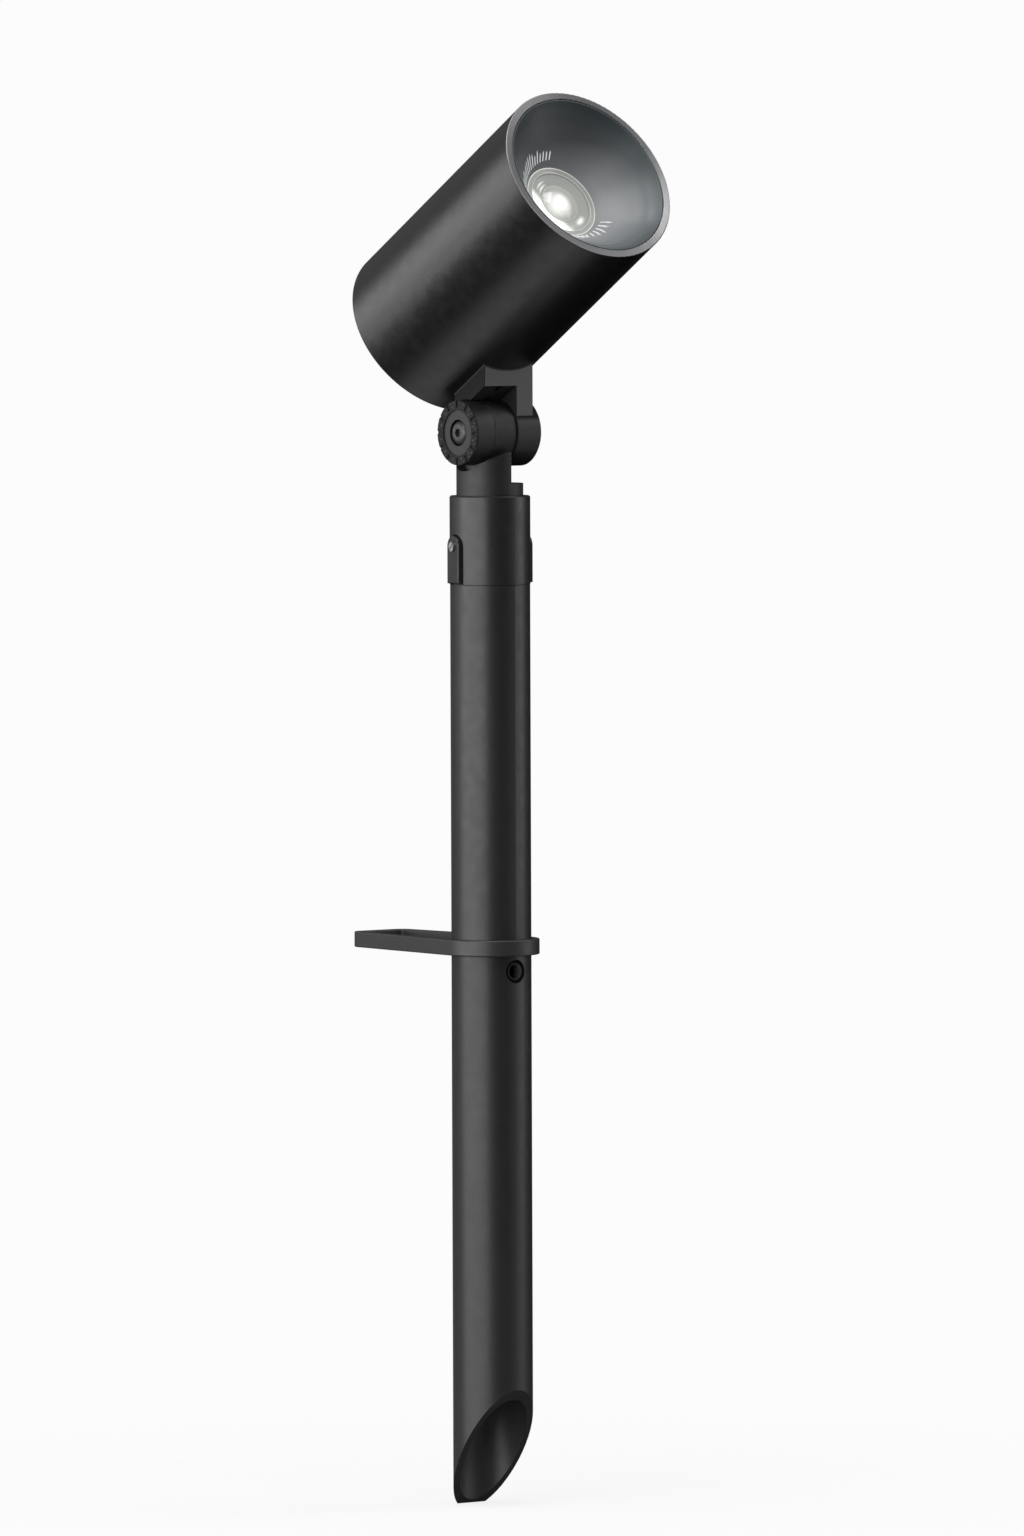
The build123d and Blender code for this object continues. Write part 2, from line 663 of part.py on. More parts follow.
# Clear collimator lens: a dome, a groove and an outer ring on its face, a cavity over the emitter
with BuildPart() as lens:
    lens_face = lens_edge - lens_sink
    dome_r = lens_r * lens_dome_ratio
    groove_r_lens = lens_r * lens_groove_ratio
    with BuildSketch(head_section):
        with BuildLine():
            dome_low = lens_face - lens_groove
            dome_sphere = (dome_r**2 + lens_dome**2) / (2 * lens_dome)
            RadiusArc((0, dome_low + lens_dome), (dome_r, dome_low), dome_sphere)
            Polyline(
                (dome_r, dome_low),
                (dome_r + lens_groove / 2, dome_low - lens_groove / 2),
                (groove_r_lens - lens_groove / 2, dome_low),
                (groove_r_lens, lens_face),
                (lens_r, lens_face),
                (lens_r, lens_flange_top),
                (lens_flange_r, lens_flange_top),
                (lens_flange_r, lens_flange_foot),
                (lens_r, lens_flange_foot),
                (lens_foot_d / 2, lens_foot),
                (lens_cavity_d / 2, lens_foot),
                (lens_cavity_d / 2 - break_edge, lens_foot + lens_cavity),
                (0, lens_foot + lens_cavity),
                (0, dome_low + lens_dome),
            )
        make_face()
    revolve(axis=head_axis)
save(lens, "lens")

with BuildPart() as lens_seal:
    seal_plane = head_plane(lens_flange_top)
    disc(seal_plane, 2 * lens_flange_r, lens_seal_thickness, bore=lens_d + 2 * seat_gap)
save(lens_seal, "lens_seal")

# Holder that stands on the LED board and carries the lens by its flange
with BuildPart() as lens_holder:
    holder_points = [
        (lens_r + seat_gap, lens_flange_foot),
        (holder_in, lens_flange_foot),
        (holder_in, lens_flange_top),
        (holder_r, lens_flange_top),
        (holder_r, board_front),
        (lens_r + seat_gap, board_front),
    ]
    turn(head_section, head_axis, holder_points)
save(lens_holder, "lens_holder")

with BuildPart() as led_emitter:
    with BuildSketch(head_plane(board_front)):
        Rectangle(emitter_side, emitter_side)
    extrude(amount=emitter_base)
    disc(head_plane(board_front + emitter_base), emitter_dome_d, emitter_dome)
    dome_rim = led_emitter.edges().filter_by(GeomType.CIRCLE).group_by(head_axis)[-1]
    fillet(dome_rim, emitter_round)
save(led_emitter, "led_emitter")

with BuildPart() as led_board:
    lead_height = driver_board_thickness / 2 + lead_d / 2 + seat_gap
    lead_places = Locations((-lead_side, lead_height), (lead_side, lead_height))
    with BuildSketch(head_plane(board_back)):
        Circle(board_r)
        with board_screw_places():
            Circle(board_screw_inset)
    extrude(amount=board_thickness)
    board_hole_d = board_screw_d + 2 * hole_gap
    lead_hole_d = lead_d + 2 * hole_gap
    discs(head_plane(board_back), board_screw_places(), board_hole_d, board_thickness, mode=Mode.SUBTRACT)
    discs(head_plane(board_back), lead_places, lead_hole_d, board_thickness, mode=Mode.SUBTRACT)
save(led_board, "led_board")

with BuildPart() as board_screws:
    board_screw_bite = spreader_thickness / 2
    board_screw_top = head_plane(board_front + board_screw_head)
    discs(head_plane(board_front), board_screw_places(), board_screw_head_d, board_screw_head)
    discs(head_plane(board_front), board_screw_places(), board_screw_d, -board_thickness - board_screw_bite)
    key_sockets(board_screw_top, board_screw_places(), small_key, small_key_depth)
save(board_screws, "board_screws")

# Aluminium disc behind the board, with two slotted rails for the driver board
with BuildPart() as heat_spreader:
    disc(head_plane(spreader_back), 2 * (bore_r - seat_gap), spreader_thickness)
    rail_x = driver_width / 2 + seat_gap - rail_slot + rail_width / 2
    with BuildSketch(head_plane(spreader_back)):
        with Locations((-rail_x, 0), (rail_x, 0)):
            Rectangle(rail_width, rail_height)
        Rectangle(driver_width + 2 * seat_gap, driver_board_thickness + 2 * seat_gap, mode=Mode.SUBTRACT)
    extrude(amount=-rail_length)
    screw_hole_d = spreader_screw_d + 2 * hole_gap
    discs(head_plane(spreader_back), boss_places(), screw_hole_d, spreader_thickness, mode=Mode.SUBTRACT)
    discs(head_plane(spreader_back), lead_places, lead_hole_d, spreader_thickness, mode=Mode.SUBTRACT)
    bite_d = board_screw_d + seat_gap
    bite_depth = board_screw_bite + seat_gap
    discs(head_plane(board_back), board_screw_places(), bite_d, -bite_depth, mode=Mode.SUBTRACT)
save(heat_spreader, "heat_spreader")

with BuildPart() as spreader_screws:
    discs(head_plane(board_back), boss_places(), spreader_screw_head_d, small_screw_head)
    discs(head_plane(board_back), boss_places(), spreader_screw_d, -spreader_thickness - small_screw_bite)
    key_sockets(head_plane(board_back + small_screw_head), boss_places(), small_key, small_key_depth)
save(spreader_screws, "spreader_screws")

# Driver: board in the rails, its main parts, and the two leads to the LED board
with BuildPart() as driver_board:
    with BuildSketch(head_plane(driver_to)):
        Rectangle(driver_width, driver_board_thickness)
    extrude(amount=-driver_length)
save(driver_board, "driver_board")

with BuildPart() as driver_parts:
    driver_top = Plane(
        head_foot + lift * (driver_board_thickness / 2) + beam * (driver_to - driver_length / 2),
        x_dir=(0, 1, 0),
        z_dir=lift,
    )
    part_row = driver_length / 4
    with BuildSketch(driver_top):
        with Locations((-driver_width / 4, part_row)):
            Circle(choke_d / 2)
    extrude(amount=choke_height)
    with BuildSketch(driver_top):
        with Locations((-driver_width / 4, 0)):
            Rectangle(chip_side, chip_side)
    extrude(amount=chip_height)
    capacitor_place = Vector(0, driver_width / 4, 0) + lift * (driver_board_thickness + capacitor_d) / 2
    capacitor_start = head_foot + capacitor_place + beam * (driver_to - driver_length / 2)
    disc(Plane(capacitor_start, x_dir=(0, 1, 0), z_dir=beam), capacitor_d, -capacitor_length)
save(driver_parts, "driver_parts")

with BuildPart() as led_leads:
    lead_from = driver_to - lead_overlap
    discs(head_plane(lead_from), lead_places, lead_d, board_front + lead_proud - lead_from)
save(led_leads, "led_leads")

# Rubber bush where the wires leave the housing
with BuildPart() as wire_seal:
    seal_r = wire_seal_d / 2
    flange_r = seal_r + wire_seal_lap
    wall_top = wire_reach(bore_r, flange_r) + seat_gap
    wall_foot = wire_reach(head_r + gasket, seal_r) + seat_gap
    disc(wire_plane.offset(wall_foot), wire_seal_d - seat_gap, wall_top - wall_foot)
    disc(wire_plane.offset(wall_top), 2 * flange_r, wire_seal_flange)
    disc(wire_plane, wire_seal_bore, head_offset, mode=Mode.SUBTRACT)
save(wire_seal, "wire_seal")

# Rear cap inside the back of the housing, with its O-ring and screws
with BuildPart() as rear_cap:
    cap_r = bore_r - seat_gap
    disc(head_plane(cap_back), 2 * cap_r, rear_cap_thickness)
    groove_width = rear_seal_section * seal_groove
    cap_seal_place = cap_front - rear_seal_lip - groove_width / 2
    cap_groove_r = bore_r - rear_seal_section - seat_gap / 2
    groove_plane = head_plane(cap_seal_place - groove_width / 2)
    disc(groove_plane, head_d, groove_width, mode=Mode.SUBTRACT, bore=2 * cap_groove_r)
    discs(head_plane(cap_back), boss_places(), screw_hole_d, rear_cap_thickness, mode=Mode.SUBTRACT)
    sink_d = spreader_screw_head_d + 2 * hole_gap
    discs(head_plane(cap_back), boss_places(), sink_d, small_screw_head, mode=Mode.SUBTRACT)
save(rear_cap, "rear_cap")

with BuildPart(head_plane(cap_seal_place)) as rear_seal:
    Torus(bore_r - rear_seal_section / 2 - seat_gap / 4, rear_seal_section / 2)
save(rear_seal, "rear_seal")

with BuildPart() as rear_cap_screws:
    cap_screw_seat = head_plane(cap_back + small_screw_head)
    cap_screw_length = rear_cap_thickness - small_screw_head + small_screw_bite
    discs(cap_screw_seat, boss_places(), spreader_screw_head_d, -small_screw_head)
    discs(cap_screw_seat, boss_places(), spreader_screw_d, cap_screw_length)
    with BuildSketch(head_plane(cap_back)):
        with boss_places():
            RegularPolygon(small_key / 2, 6, major_radius=False)
    extrude(amount=small_key_depth, mode=Mode.SUBTRACT)
save(rear_cap_screws, "rear_cap_screws")
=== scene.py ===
import json
import math
import bmesh
import bpy
from mathutils import Matrix, Vector


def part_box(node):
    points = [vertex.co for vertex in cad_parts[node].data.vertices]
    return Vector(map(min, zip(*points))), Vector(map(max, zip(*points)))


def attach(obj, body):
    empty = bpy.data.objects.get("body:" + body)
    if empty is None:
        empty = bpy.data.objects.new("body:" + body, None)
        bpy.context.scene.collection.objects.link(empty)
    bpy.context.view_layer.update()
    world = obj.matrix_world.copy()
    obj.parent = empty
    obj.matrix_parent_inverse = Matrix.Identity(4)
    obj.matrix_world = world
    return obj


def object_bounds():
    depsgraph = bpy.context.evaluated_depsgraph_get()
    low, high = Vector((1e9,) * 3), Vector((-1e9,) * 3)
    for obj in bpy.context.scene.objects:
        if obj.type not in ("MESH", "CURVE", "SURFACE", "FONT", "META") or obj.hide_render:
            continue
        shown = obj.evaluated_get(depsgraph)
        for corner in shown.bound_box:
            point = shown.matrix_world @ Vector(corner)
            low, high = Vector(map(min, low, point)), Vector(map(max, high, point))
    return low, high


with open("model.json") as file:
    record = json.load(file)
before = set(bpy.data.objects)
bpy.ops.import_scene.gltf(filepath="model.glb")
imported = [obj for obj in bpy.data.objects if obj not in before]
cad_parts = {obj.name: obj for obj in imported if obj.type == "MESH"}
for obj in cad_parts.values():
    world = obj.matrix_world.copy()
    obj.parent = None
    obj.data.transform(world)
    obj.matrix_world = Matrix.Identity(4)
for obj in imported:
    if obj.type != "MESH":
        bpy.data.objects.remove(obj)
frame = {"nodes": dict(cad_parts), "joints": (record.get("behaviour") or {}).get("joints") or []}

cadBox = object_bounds()
scene = bpy.context.scene
scene.view_settings.view_transform = "Standard"
cadNodes = frame["nodes"]
print("frame loaded:", len(cadNodes), "CAD nodes")

# the lamp head's own axis at rest, worked out from the tilt joint, in metres
headShape = {"elevation": 32.0, "offset": 0.0424, "front": 0.0863, "lensRadius": 0.0125}
tiltCentre = Vector(next(joint["pos_m"] for joint in frame["joints"] if joint["name"] == "tilt"))
headTurn = math.radians(headShape["elevation"])
beam = Vector((math.cos(headTurn), 0, math.sin(headTurn)))
lift = Vector((-beam.z, 0, beam.x))
side = Vector((0, 1, 0))
headFoot = tiltCentre + lift * headShape["offset"]


# node helpers: a source is a number, a colour, or a (node, output) pair
def feed(tree, socket, source):
    if isinstance(source, tuple) and hasattr(source[0], "outputs"):
        tree.links.new(source[0].outputs[source[1]], socket)
    else:
        socket.default_value = source


def calc(tree, operation, *terms):
    node = tree.nodes.new("ShaderNodeMath")
    node.operation = operation
    for socket, term in zip(node.inputs, terms):
        feed(tree, socket, term)
    return node, "Value"


def vectorCalc(tree, operation, *terms):
    node = tree.nodes.new("ShaderNodeVectorMath")
    node.operation = operation
    for socket, term in zip(node.inputs, terms):
        feed(tree, socket, term)
    return node, "Value" if operation in ("LENGTH", "DOT_PRODUCT") else "Vector"


def ranged(tree, source, low, high, toLow=0.0, toHigh=1.0, smooth=False):
    node = tree.nodes.new("ShaderNodeMapRange")
    node.interpolation_type = "SMOOTHSTEP" if smooth else "LINEAR"
    labels = ("Value", "From Min", "From Max", "To Min", "To Max")
    for label, value in zip(labels, (source, low, high, toLow, toHigh)):
        feed(tree, node.inputs[label], value)
    return node, "Result"


def mixed(tree, factor, first, second):
    node = tree.nodes.new("ShaderNodeMix")
    node.data_type = "RGBA"
    for label, value in zip(("Factor", "A", "B"), (factor, first, second)):
        feed(tree, node.inputs[label], value)
    return node, "Result"


def noise(tree, place, scale, detail=2.0, rough=0.5):
    node = tree.nodes.new("ShaderNodeTexNoise")
    for label, value in zip(("Vector", "Scale", "Detail", "Roughness"), (place, scale, detail, rough)):
        feed(tree, node.inputs[label], value)
    return node, "Fac"


def lineNoise(tree, along, detail):
    node = tree.nodes.new("ShaderNodeTexNoise")
    node.noise_dimensions = "1D"
    for label, value in zip(("W", "Scale", "Detail"), (along, 1.0, detail)):
        feed(tree, node.inputs[label], value)
    return node, "Fac"


# the band that most of a noise lies in, and the metres over which one finish gives way to another
noiseBand = (0.3, 0.7)
softEdge = 0.0001


def objectPlace(tree):
    return tree.nodes.new("ShaderNodeTexCoord"), "Object"


def newGroup(name, inputs, outputs):
    group = bpy.data.node_groups.new(name, "ShaderNodeTree")
    for label, kind, value in inputs:
        socket = group.interface.new_socket(name=label, in_out="INPUT", socket_type=kind)
        socket.default_value = value
    for label, kind in outputs:
        group.interface.new_socket(name=label, in_out="OUTPUT", socket_type=kind)
    return group, group.nodes.new("NodeGroupInput"), group.nodes.new("NodeGroupOutput")


# powder coat: a fine orange peel, cloudy tone and uneven gloss
coatGrain = {
    "peelDetail": 3.0,
    "peelRough": 0.45,
    "cloudScale": 45.0,
    "cloudDetail": 5.0,
    "speckScale": 260.0,
    "speckDetail": 4.0,
    "bump": 0.00002,
    "bumpShare": 0.5,
}


def makePowderGroup():
    group, given, result = newGroup(
        "powderCoat",
        [
            ("Tone", "NodeSocketColor", (0.02, 0.02, 0.021, 1)),
            ("Pale Tone", "NodeSocketColor", (0.03, 0.03, 0.032, 1)),
            ("Peel Scale", "NodeSocketFloat", 1400.0),
            ("Gloss Low", "NodeSocketFloat", 0.38),
            ("Gloss High", "NodeSocketFloat", 0.48),
        ],
        [("Colour", "NodeSocketColor"), ("Roughness", "NodeSocketFloat"), ("Height", "NodeSocketFloat")],
    )
    place = objectPlace(group)
    peel = noise(group, place, (given, "Peel Scale"), coatGrain["peelDetail"], coatGrain["peelRough"])
    cloud = noise(group, place, coatGrain["cloudScale"], coatGrain["cloudDetail"])
    speck = noise(group, place, coatGrain["speckScale"], coatGrain["speckDetail"])
    feed(group, result.inputs["Colour"], mixed(group, cloud, (given, "Tone"), (given, "Pale Tone")))
    gloss = ranged(group, speck, *noiseBand, (given, "Gloss Low"), (given, "Gloss High"))
    feed(group, result.inputs["Roughness"], gloss)
    feed(group, result.inputs["Height"], peel)
    return group


# rings left by a lathe round any axis, with the place measured from that axis
latheRings = {"fineDetail": 2.0, "broadDetail": 1.0, "broadShare": 0.16}


def makeTurnedGroup():
    group, given, result = newGroup(
        "turnedRings",
        [
            ("Centre", "NodeSocketVector", (0, 0, 0)),
            ("Axis", "NodeSocketVector", (0, 0, 1)),
            ("Side", "NodeSocketVector", (1, 0, 0)),
            ("Rings per Metre", "NodeSocketFloat", 2500.0),
        ],
        [
            ("Rings", "NodeSocketFloat"),
            ("Broad Rings", "NodeSocketFloat"),
            ("Radius", "NodeSocketFloat"),
            ("Along", "NodeSocketFloat"),
            ("Angle", "NodeSocketFloat"),
        ],
    )
    away = vectorCalc(group, "SUBTRACT", objectPlace(group), (given, "Centre"))
    radius = vectorCalc(group, "LENGTH", vectorCalc(group, "CROSS_PRODUCT", away, (given, "Axis")))
    up = vectorCalc(group, "CROSS_PRODUCT", (given, "Axis"), (given, "Side"))
    rise = vectorCalc(group, "DOT_PRODUCT", away, up)
    reach = vectorCalc(group, "DOT_PRODUCT", away, (given, "Side"))
    turn = calc(group, "DEGREES", calc(group, "ARCTAN2", rise, reach))
    ringCount = calc(group, "MULTIPLY", radius, (given, "Rings per Metre"))
    broadCount = calc(group, "MULTIPLY", ringCount, latheRings["broadShare"])
    feed(group, result.inputs["Rings"], lineNoise(group, ringCount, latheRings["fineDetail"]))
    feed(group, result.inputs["Broad Rings"], lineNoise(group, broadCount, latheRings["broadDetail"]))
    feed(group, result.inputs["Radius"], radius)
    feed(group, result.inputs["Along"], vectorCalc(group, "DOT_PRODUCT", away, (given, "Axis")))
    feed(group, result.inputs["Angle"], turn)
    return group


# a fan of short bright strokes round an axis, as a lens throws on the wall beside it
fanStrokes = {
    "wobbleScale": 300.0,
    "wobbleShare": 0.3,
    "edge": (0.28, 0.42),
    "solidLight": 0.55,
    "shortest": 0.55,
    "fadeFrom": 0.75,
    "fullTurn": 360.0,
}


def makeFanGroup():
    group, given, result = newGroup(
        "lightFan",
        [
            ("Angle", "NodeSocketFloat", 0.0),
            ("Radius", "NodeSocketFloat", 0.0),
            ("From", "NodeSocketFloat", 0.0),
            ("To", "NodeSocketFloat", 60.0),
            ("Inner", "NodeSocketFloat", 0.013),
            ("Inner End", "NodeSocketFloat", 0.013),
            ("Length", "NodeSocketFloat", 0.004),
            ("Length End", "NodeSocketFloat", 0.004),
            ("Pitch", "NodeSocketFloat", 5.0),
            ("Skew", "NodeSocketFloat", 0.0),
            ("Solid To", "NodeSocketFloat", -400.0),
        ],
        [("Mask", "NodeSocketFloat")],
    )
    angle, radius, pitch = (given, "Angle"), (given, "Radius"), (given, "Pitch")
    shake = calc(group, "SUBTRACT", noise(group, objectPlace(group), fanStrokes["wobbleScale"]), 0.5)
    wobble = calc(group, "MULTIPLY", shake, pitch)
    inner = ranged(group, angle, (given, "From"), (given, "To"), (given, "Inner"), (given, "Inner End"))
    out = calc(group, "SUBTRACT", radius, inner)
    turned = calc(group, "MULTIPLY", calc(group, "SUBTRACT", (given, "To"), angle), (given, "Skew"))
    straight = calc(group, "ADD", angle, calc(group, "MULTIPLY", out, turned))
    bent = calc(group, "ADD", straight, calc(group, "MULTIPLY", wobble, fanStrokes["wobbleShare"]))
    wave = calc(group, "PINGPONG", bent, calc(group, "MULTIPLY", pitch, 0.5))
    stroke = ranged(group, calc(group, "DIVIDE", wave, pitch), *fanStrokes["edge"], 0, 1, True)
    solid = calc(group, "LESS_THAN", angle, (given, "Solid To"))
    body = calc(group, "MAXIMUM", stroke, calc(group, "MULTIPLY", solid, fanStrokes["solidLight"]))
    positive = calc(group, "ADD", bent, fanStrokes["fullTurn"])
    index = calc(group, "FLOOR", calc(group, "DIVIDE", positive, pitch))
    chance = group.nodes.new("ShaderNodeTexWhiteNoise")
    chance.noise_dimensions = "1D"
    feed(group, chance.inputs["W"], index)
    share = ranged(group, (chance, "Value"), 0.0, 1.0, fanStrokes["shortest"], 1.0)
    length = ranged(group, angle, (given, "From"), (given, "To"), (given, "Length"), (given, "Length End"))
    depth = calc(group, "MULTIPLY", length, share)
    along = calc(group, "DIVIDE", out, depth)
    mask = calc(group, "MULTIPLY", body, ranged(group, along, fanStrokes["fadeFrom"], 1.0, 1, 0))
    for test, value, limit in (
        ("GREATER_THAN", along, 0.0),
        ("GREATER_THAN", angle, (given, "From")),
        ("LESS_THAN", angle, (given, "To")),
    ):
        mask = calc(group, "MULTIPLY", mask, calc(group, test, value, limit))
    feed(group, result.inputs["Mask"], mask)
    return group


powderGroup = makePowderGroup()
turnedGroup = makeTurnedGroup()
fanGroup = makeFanGroup()


def newMaterial(name):
    material = bpy.data.materials.new(name)
    material.use_nodes = True
    tree = material.node_tree
    return material, tree, tree.nodes["Principled BSDF"]


def useGroup(tree, group, values):
    node = tree.nodes.new("ShaderNodeGroup")
    node.node_tree = group
    for label, value in values.items():
        feed(tree, node.inputs[label], value)
    return node


def addBump(tree, shader, height, distance, strength):
    bump = tree.nodes.new("ShaderNodeBump")
    bump.inputs["Distance"].default_value = distance
    bump.inputs["Strength"].default_value = strength
    feed(tree, bump.inputs["Height"], height)
    feed(tree, shader.inputs["Normal"], (bump, "Normal"))


paint = {
    "pole": {
        "tone": (0.017, 0.017, 0.0185),
        "pale": (0.023, 0.023, 0.025),
        "peel": 1500.0,
        "gloss": (0.36, 0.44),
    },
    "cast": {
        "tone": (0.016, 0.016, 0.0175),
        "pale": (0.022, 0.022, 0.024),
        "peel": 1800.0,
        "gloss": (0.34, 0.42),
    },
    "head": {
        "tone": (0.005, 0.005, 0.006),
        "pale": (0.008, 0.008, 0.0095),
        "peel": 1800.0,
        "gloss": (0.30, 0.37),
    },
    "stem": {
        "tone": (0.014, 0.014, 0.0155),
        "pale": (0.020, 0.020, 0.022),
        "peel": 1800.0,
        "gloss": (0.48, 0.56),
    },
    "step": {
        "tone": (0.027, 0.027, 0.029),
        "pale": (0.035, 0.035, 0.037),
        "peel": 1600.0,
        "gloss": (0.38, 0.46),
    },
    "dial": {
        "tone": (0.015, 0.015, 0.017),
        "pale": (0.021, 0.021, 0.023),
        "peel": 2400.0,
        "gloss": (0.42, 0.50),
    },
}


def powderMaterial(name, values):
    material, tree, shader = newMaterial(name)
    coat = useGroup(
        tree,
        powderGroup,
        {
            "Tone": (*values["tone"], 1),
            "Pale Tone": (*values["pale"], 1),
            "Peel Scale": values["peel"],
            "Gloss Low": values["gloss"][0],
            "Gloss High": values["gloss"][1],
        },
    )
    feed(tree, shader.inputs["Base Color"], (coat, "Colour"))
    feed(tree, shader.inputs["Roughness"], (coat, "Roughness"))
    addBump(tree, shader, (coat, "Height"), coatGrain["bump"], coatGrain["bumpShare"])
    return material, tree, shader, coat


stepPaint = powderMaterial("stepPaint", paint["step"])[0]
castPaint = powderMaterial("castPaint", paint["cast"])[0]
stemPaint = powderMaterial("stemPaint", paint["stem"])[0]


# pole: the slanted cut is dark and dull, the inside a little paler
poleCut = {
    "way": Vector((0.828, 0, -0.561)),
    "facing": (0.97, 0.99),
    "tone": (0.012, 0.012, 0.013, 1),
    "rough": 0.75,
    "boreRadius": 0.0110,
    "boreTone": (0.036, 0.036, 0.038, 1),
}


def poleMaterial():
    material, tree, shader, coat = powderMaterial("polePaint", paint["pole"])
    texture = tree.nodes.new("ShaderNodeTexCoord")
    facing = vectorCalc(tree, "DOT_PRODUCT", (texture, "Normal"), poleCut["way"])
    onCut = ranged(tree, facing, *poleCut["facing"])
    rings = useGroup(tree, turnedGroup, {"Axis": (0, 0, 1), "Side": (1, 0, 0)})
    inside = calc(tree, "LESS_THAN", (rings, "Radius"), poleCut["boreRadius"])
    tone = mixed(tree, inside, (coat, "Colour"), poleCut["boreTone"])
    feed(tree, shader.inputs["Base Color"], mixed(tree, onCut, tone, poleCut["tone"]))
    rough = ranged(tree, onCut, 0, 1, (coat, "Roughness"), poleCut["rough"])
    feed(tree, shader.inputs["Roughness"], rough)
    return material


# dial: the raised ring on its face is duller and darker than the disc inside it
dialRing = {"radius": 0.0072, "depth": 0.0007, "tone": (0.007, 0.007, 0.008, 1), "rough": 0.8}
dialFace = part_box("tilt_dial")[0].y


def dialMaterial():
    material, tree, shader, coat = powderMaterial("dialPaint", paint["dial"])
    rings = useGroup(tree, turnedGroup, {"Centre": tiltCentre, "Axis": (0, -1, 0), "Side": (1, 0, 0)})
    faceStart = tiltCentre.y - dialFace - dialRing["depth"]
    onFace = calc(tree, "GREATER_THAN", (rings, "Along"), faceStart)
    outside = ranged(tree, (rings, "Radius"), dialRing["radius"], dialRing["radius"] + softEdge)
    onRing = calc(tree, "MULTIPLY", outside, onFace)
    feed(tree, shader.inputs["Base Color"], mixed(tree, onRing, (coat, "Colour"), dialRing["tone"]))
    rough = ranged(tree, onRing, 0, 1, (coat, "Roughness"), dialRing["rough"])
    feed(tree, shader.inputs["Roughness"], rough)
    return material


# bracket: the face of the saddle and its arm toward +X is painted paler as painted light, and the rest of
# the saddle above the pivot is painted near black as painted shade; below it the plain coat stays
bracket = {
    # front is a painted highlight tone for the face toward +X, cast a painted shade tone for the rest of the
    # saddle
    "front": (0.105, 0.105, 0.106, 1),
    "cast": (0.004, 0.004, 0.005, 1),
    "castRough": 0.88,
    "frontRough": 0.36,
    "facing": (0.90, 0.98),
    "rise": (0.003, 0.0045),
}


def bracketMaterial():
    material, tree, shader, coat = powderMaterial("bracketPaint", paint["cast"])
    texture = tree.nodes.new("ShaderNodeTexCoord")
    ahead = vectorCalc(tree, "DOT_PRODUCT", (texture, "Normal"), Vector((1, 0, 0)))
    height = vectorCalc(tree, "DOT_PRODUCT", (texture, "Object"), Vector((0, 0, 1)))
    low, high = (tiltCentre.z + rise for rise in bracket["rise"])
    saddle = ranged(tree, height, low, high)
    # the saddle face toward +X gets the paler tone: painted light
    paintedLitFront = calc(tree, "MULTIPLY", ranged(tree, ahead, *bracket["facing"]), saddle)
    # the rest of the saddle gets the near-black tone: painted shade
    cast = mixed(tree, saddle, (coat, "Colour"), bracket["cast"])
    dull = ranged(tree, saddle, 0, 1, (coat, "Roughness"), bracket["castRough"])
    feed(tree, shader.inputs["Base Color"], mixed(tree, paintedLitFront, cast, bracket["front"]))
    feed(tree, shader.inputs["Roughness"], ranged(tree, paintedLitFront, 0, 1, dull, bracket["frontRough"]))
    return material


def headRings(tree, count):
    place = {"Centre": headFoot, "Axis": beam, "Side": side}
    return useGroup(tree, turnedGroup, {**place, "Rings per Metre": count})


# housing: the same coat, with the front face turned after coating, grey and slightly dished
rim = {
    "from": 0.00035,
    "to": 0.0002,
    "grey": (0.15, 0.15, 0.155, 1),
    "count": 5200.0,
    "shine": 1.0,
    "slope": 0.40,
    "peel": 0.00001,
}


def housingMaterial():
    material, tree, shader, coat = powderMaterial("housingPaint", paint["head"])
    shader.inputs["Specular IOR Level"].default_value = rim["shine"]
    rings = headRings(tree, rim["count"])
    mask = ranged(tree, (rings, "Along"), headShape["front"] - rim["from"], headShape["front"] - rim["to"])
    feed(tree, shader.inputs["Base Color"], mixed(tree, mask, (coat, "Colour"), rim["grey"]))
    slant = calc(tree, "MULTIPLY", calc(tree, "MULTIPLY", (rings, "Radius"), mask), rim["slope"])
    peel = calc(tree, "MULTIPLY", (coat, "Height"), rim["peel"])
    # both heights are in metres already
    addBump(tree, shader, calc(tree, "ADD", slant, peel), 1.0, 1.0)
    return material


# grey cone: satin and smooth with faint lathe rings; its grey is painted paler toward the lens and given an
# emission pool, both painted light of the lens, and two fans of light beside the lens
cone = {
    "rim": (0.040, 0.052, 0.056, 1),
    # foot: the cone's grey painted paler near the lens, painted light
    "foot": (0.150, 0.152, 0.158, 1),
    "footRadius": 0.0140,
    "rimRadius": 0.0268,
    "ringShare": 0.10,
    "rough": (0.34, 0.44),
    "count": 3600.0,
    "bump": 0.00001,
    "bumpShare": 0.3,
    "glow": (0.085, 0.088, 0.092, 1),
    "glowTo": 0.0220,
    "glowAngle": -45.0,
    "glowShift": 0.0050,
    "fanLight": (0.62, 0.65, 0.65, 1),
    "leftFan": {
        "From": 88.0,
        "To": 174.0,
        "Inner": 0.0143,
        "Inner End": 0.0131,
        "Length": 0.0022,
        "Length End": 0.0074,
        "Pitch": 5.2,
        "Skew": 0.0,
        "Solid To": -400.0,
    },
    "rightFan": {
        "From": -112.0,
        "To": -38.0,
        "Inner": 0.0128,
        "Inner End": 0.0138,
        "Length": 0.0032,
        "Length End": 0.0038,
        "Pitch": 7.0,
        "Skew": 90.0,
        "Solid To": -78.0,
    },
}


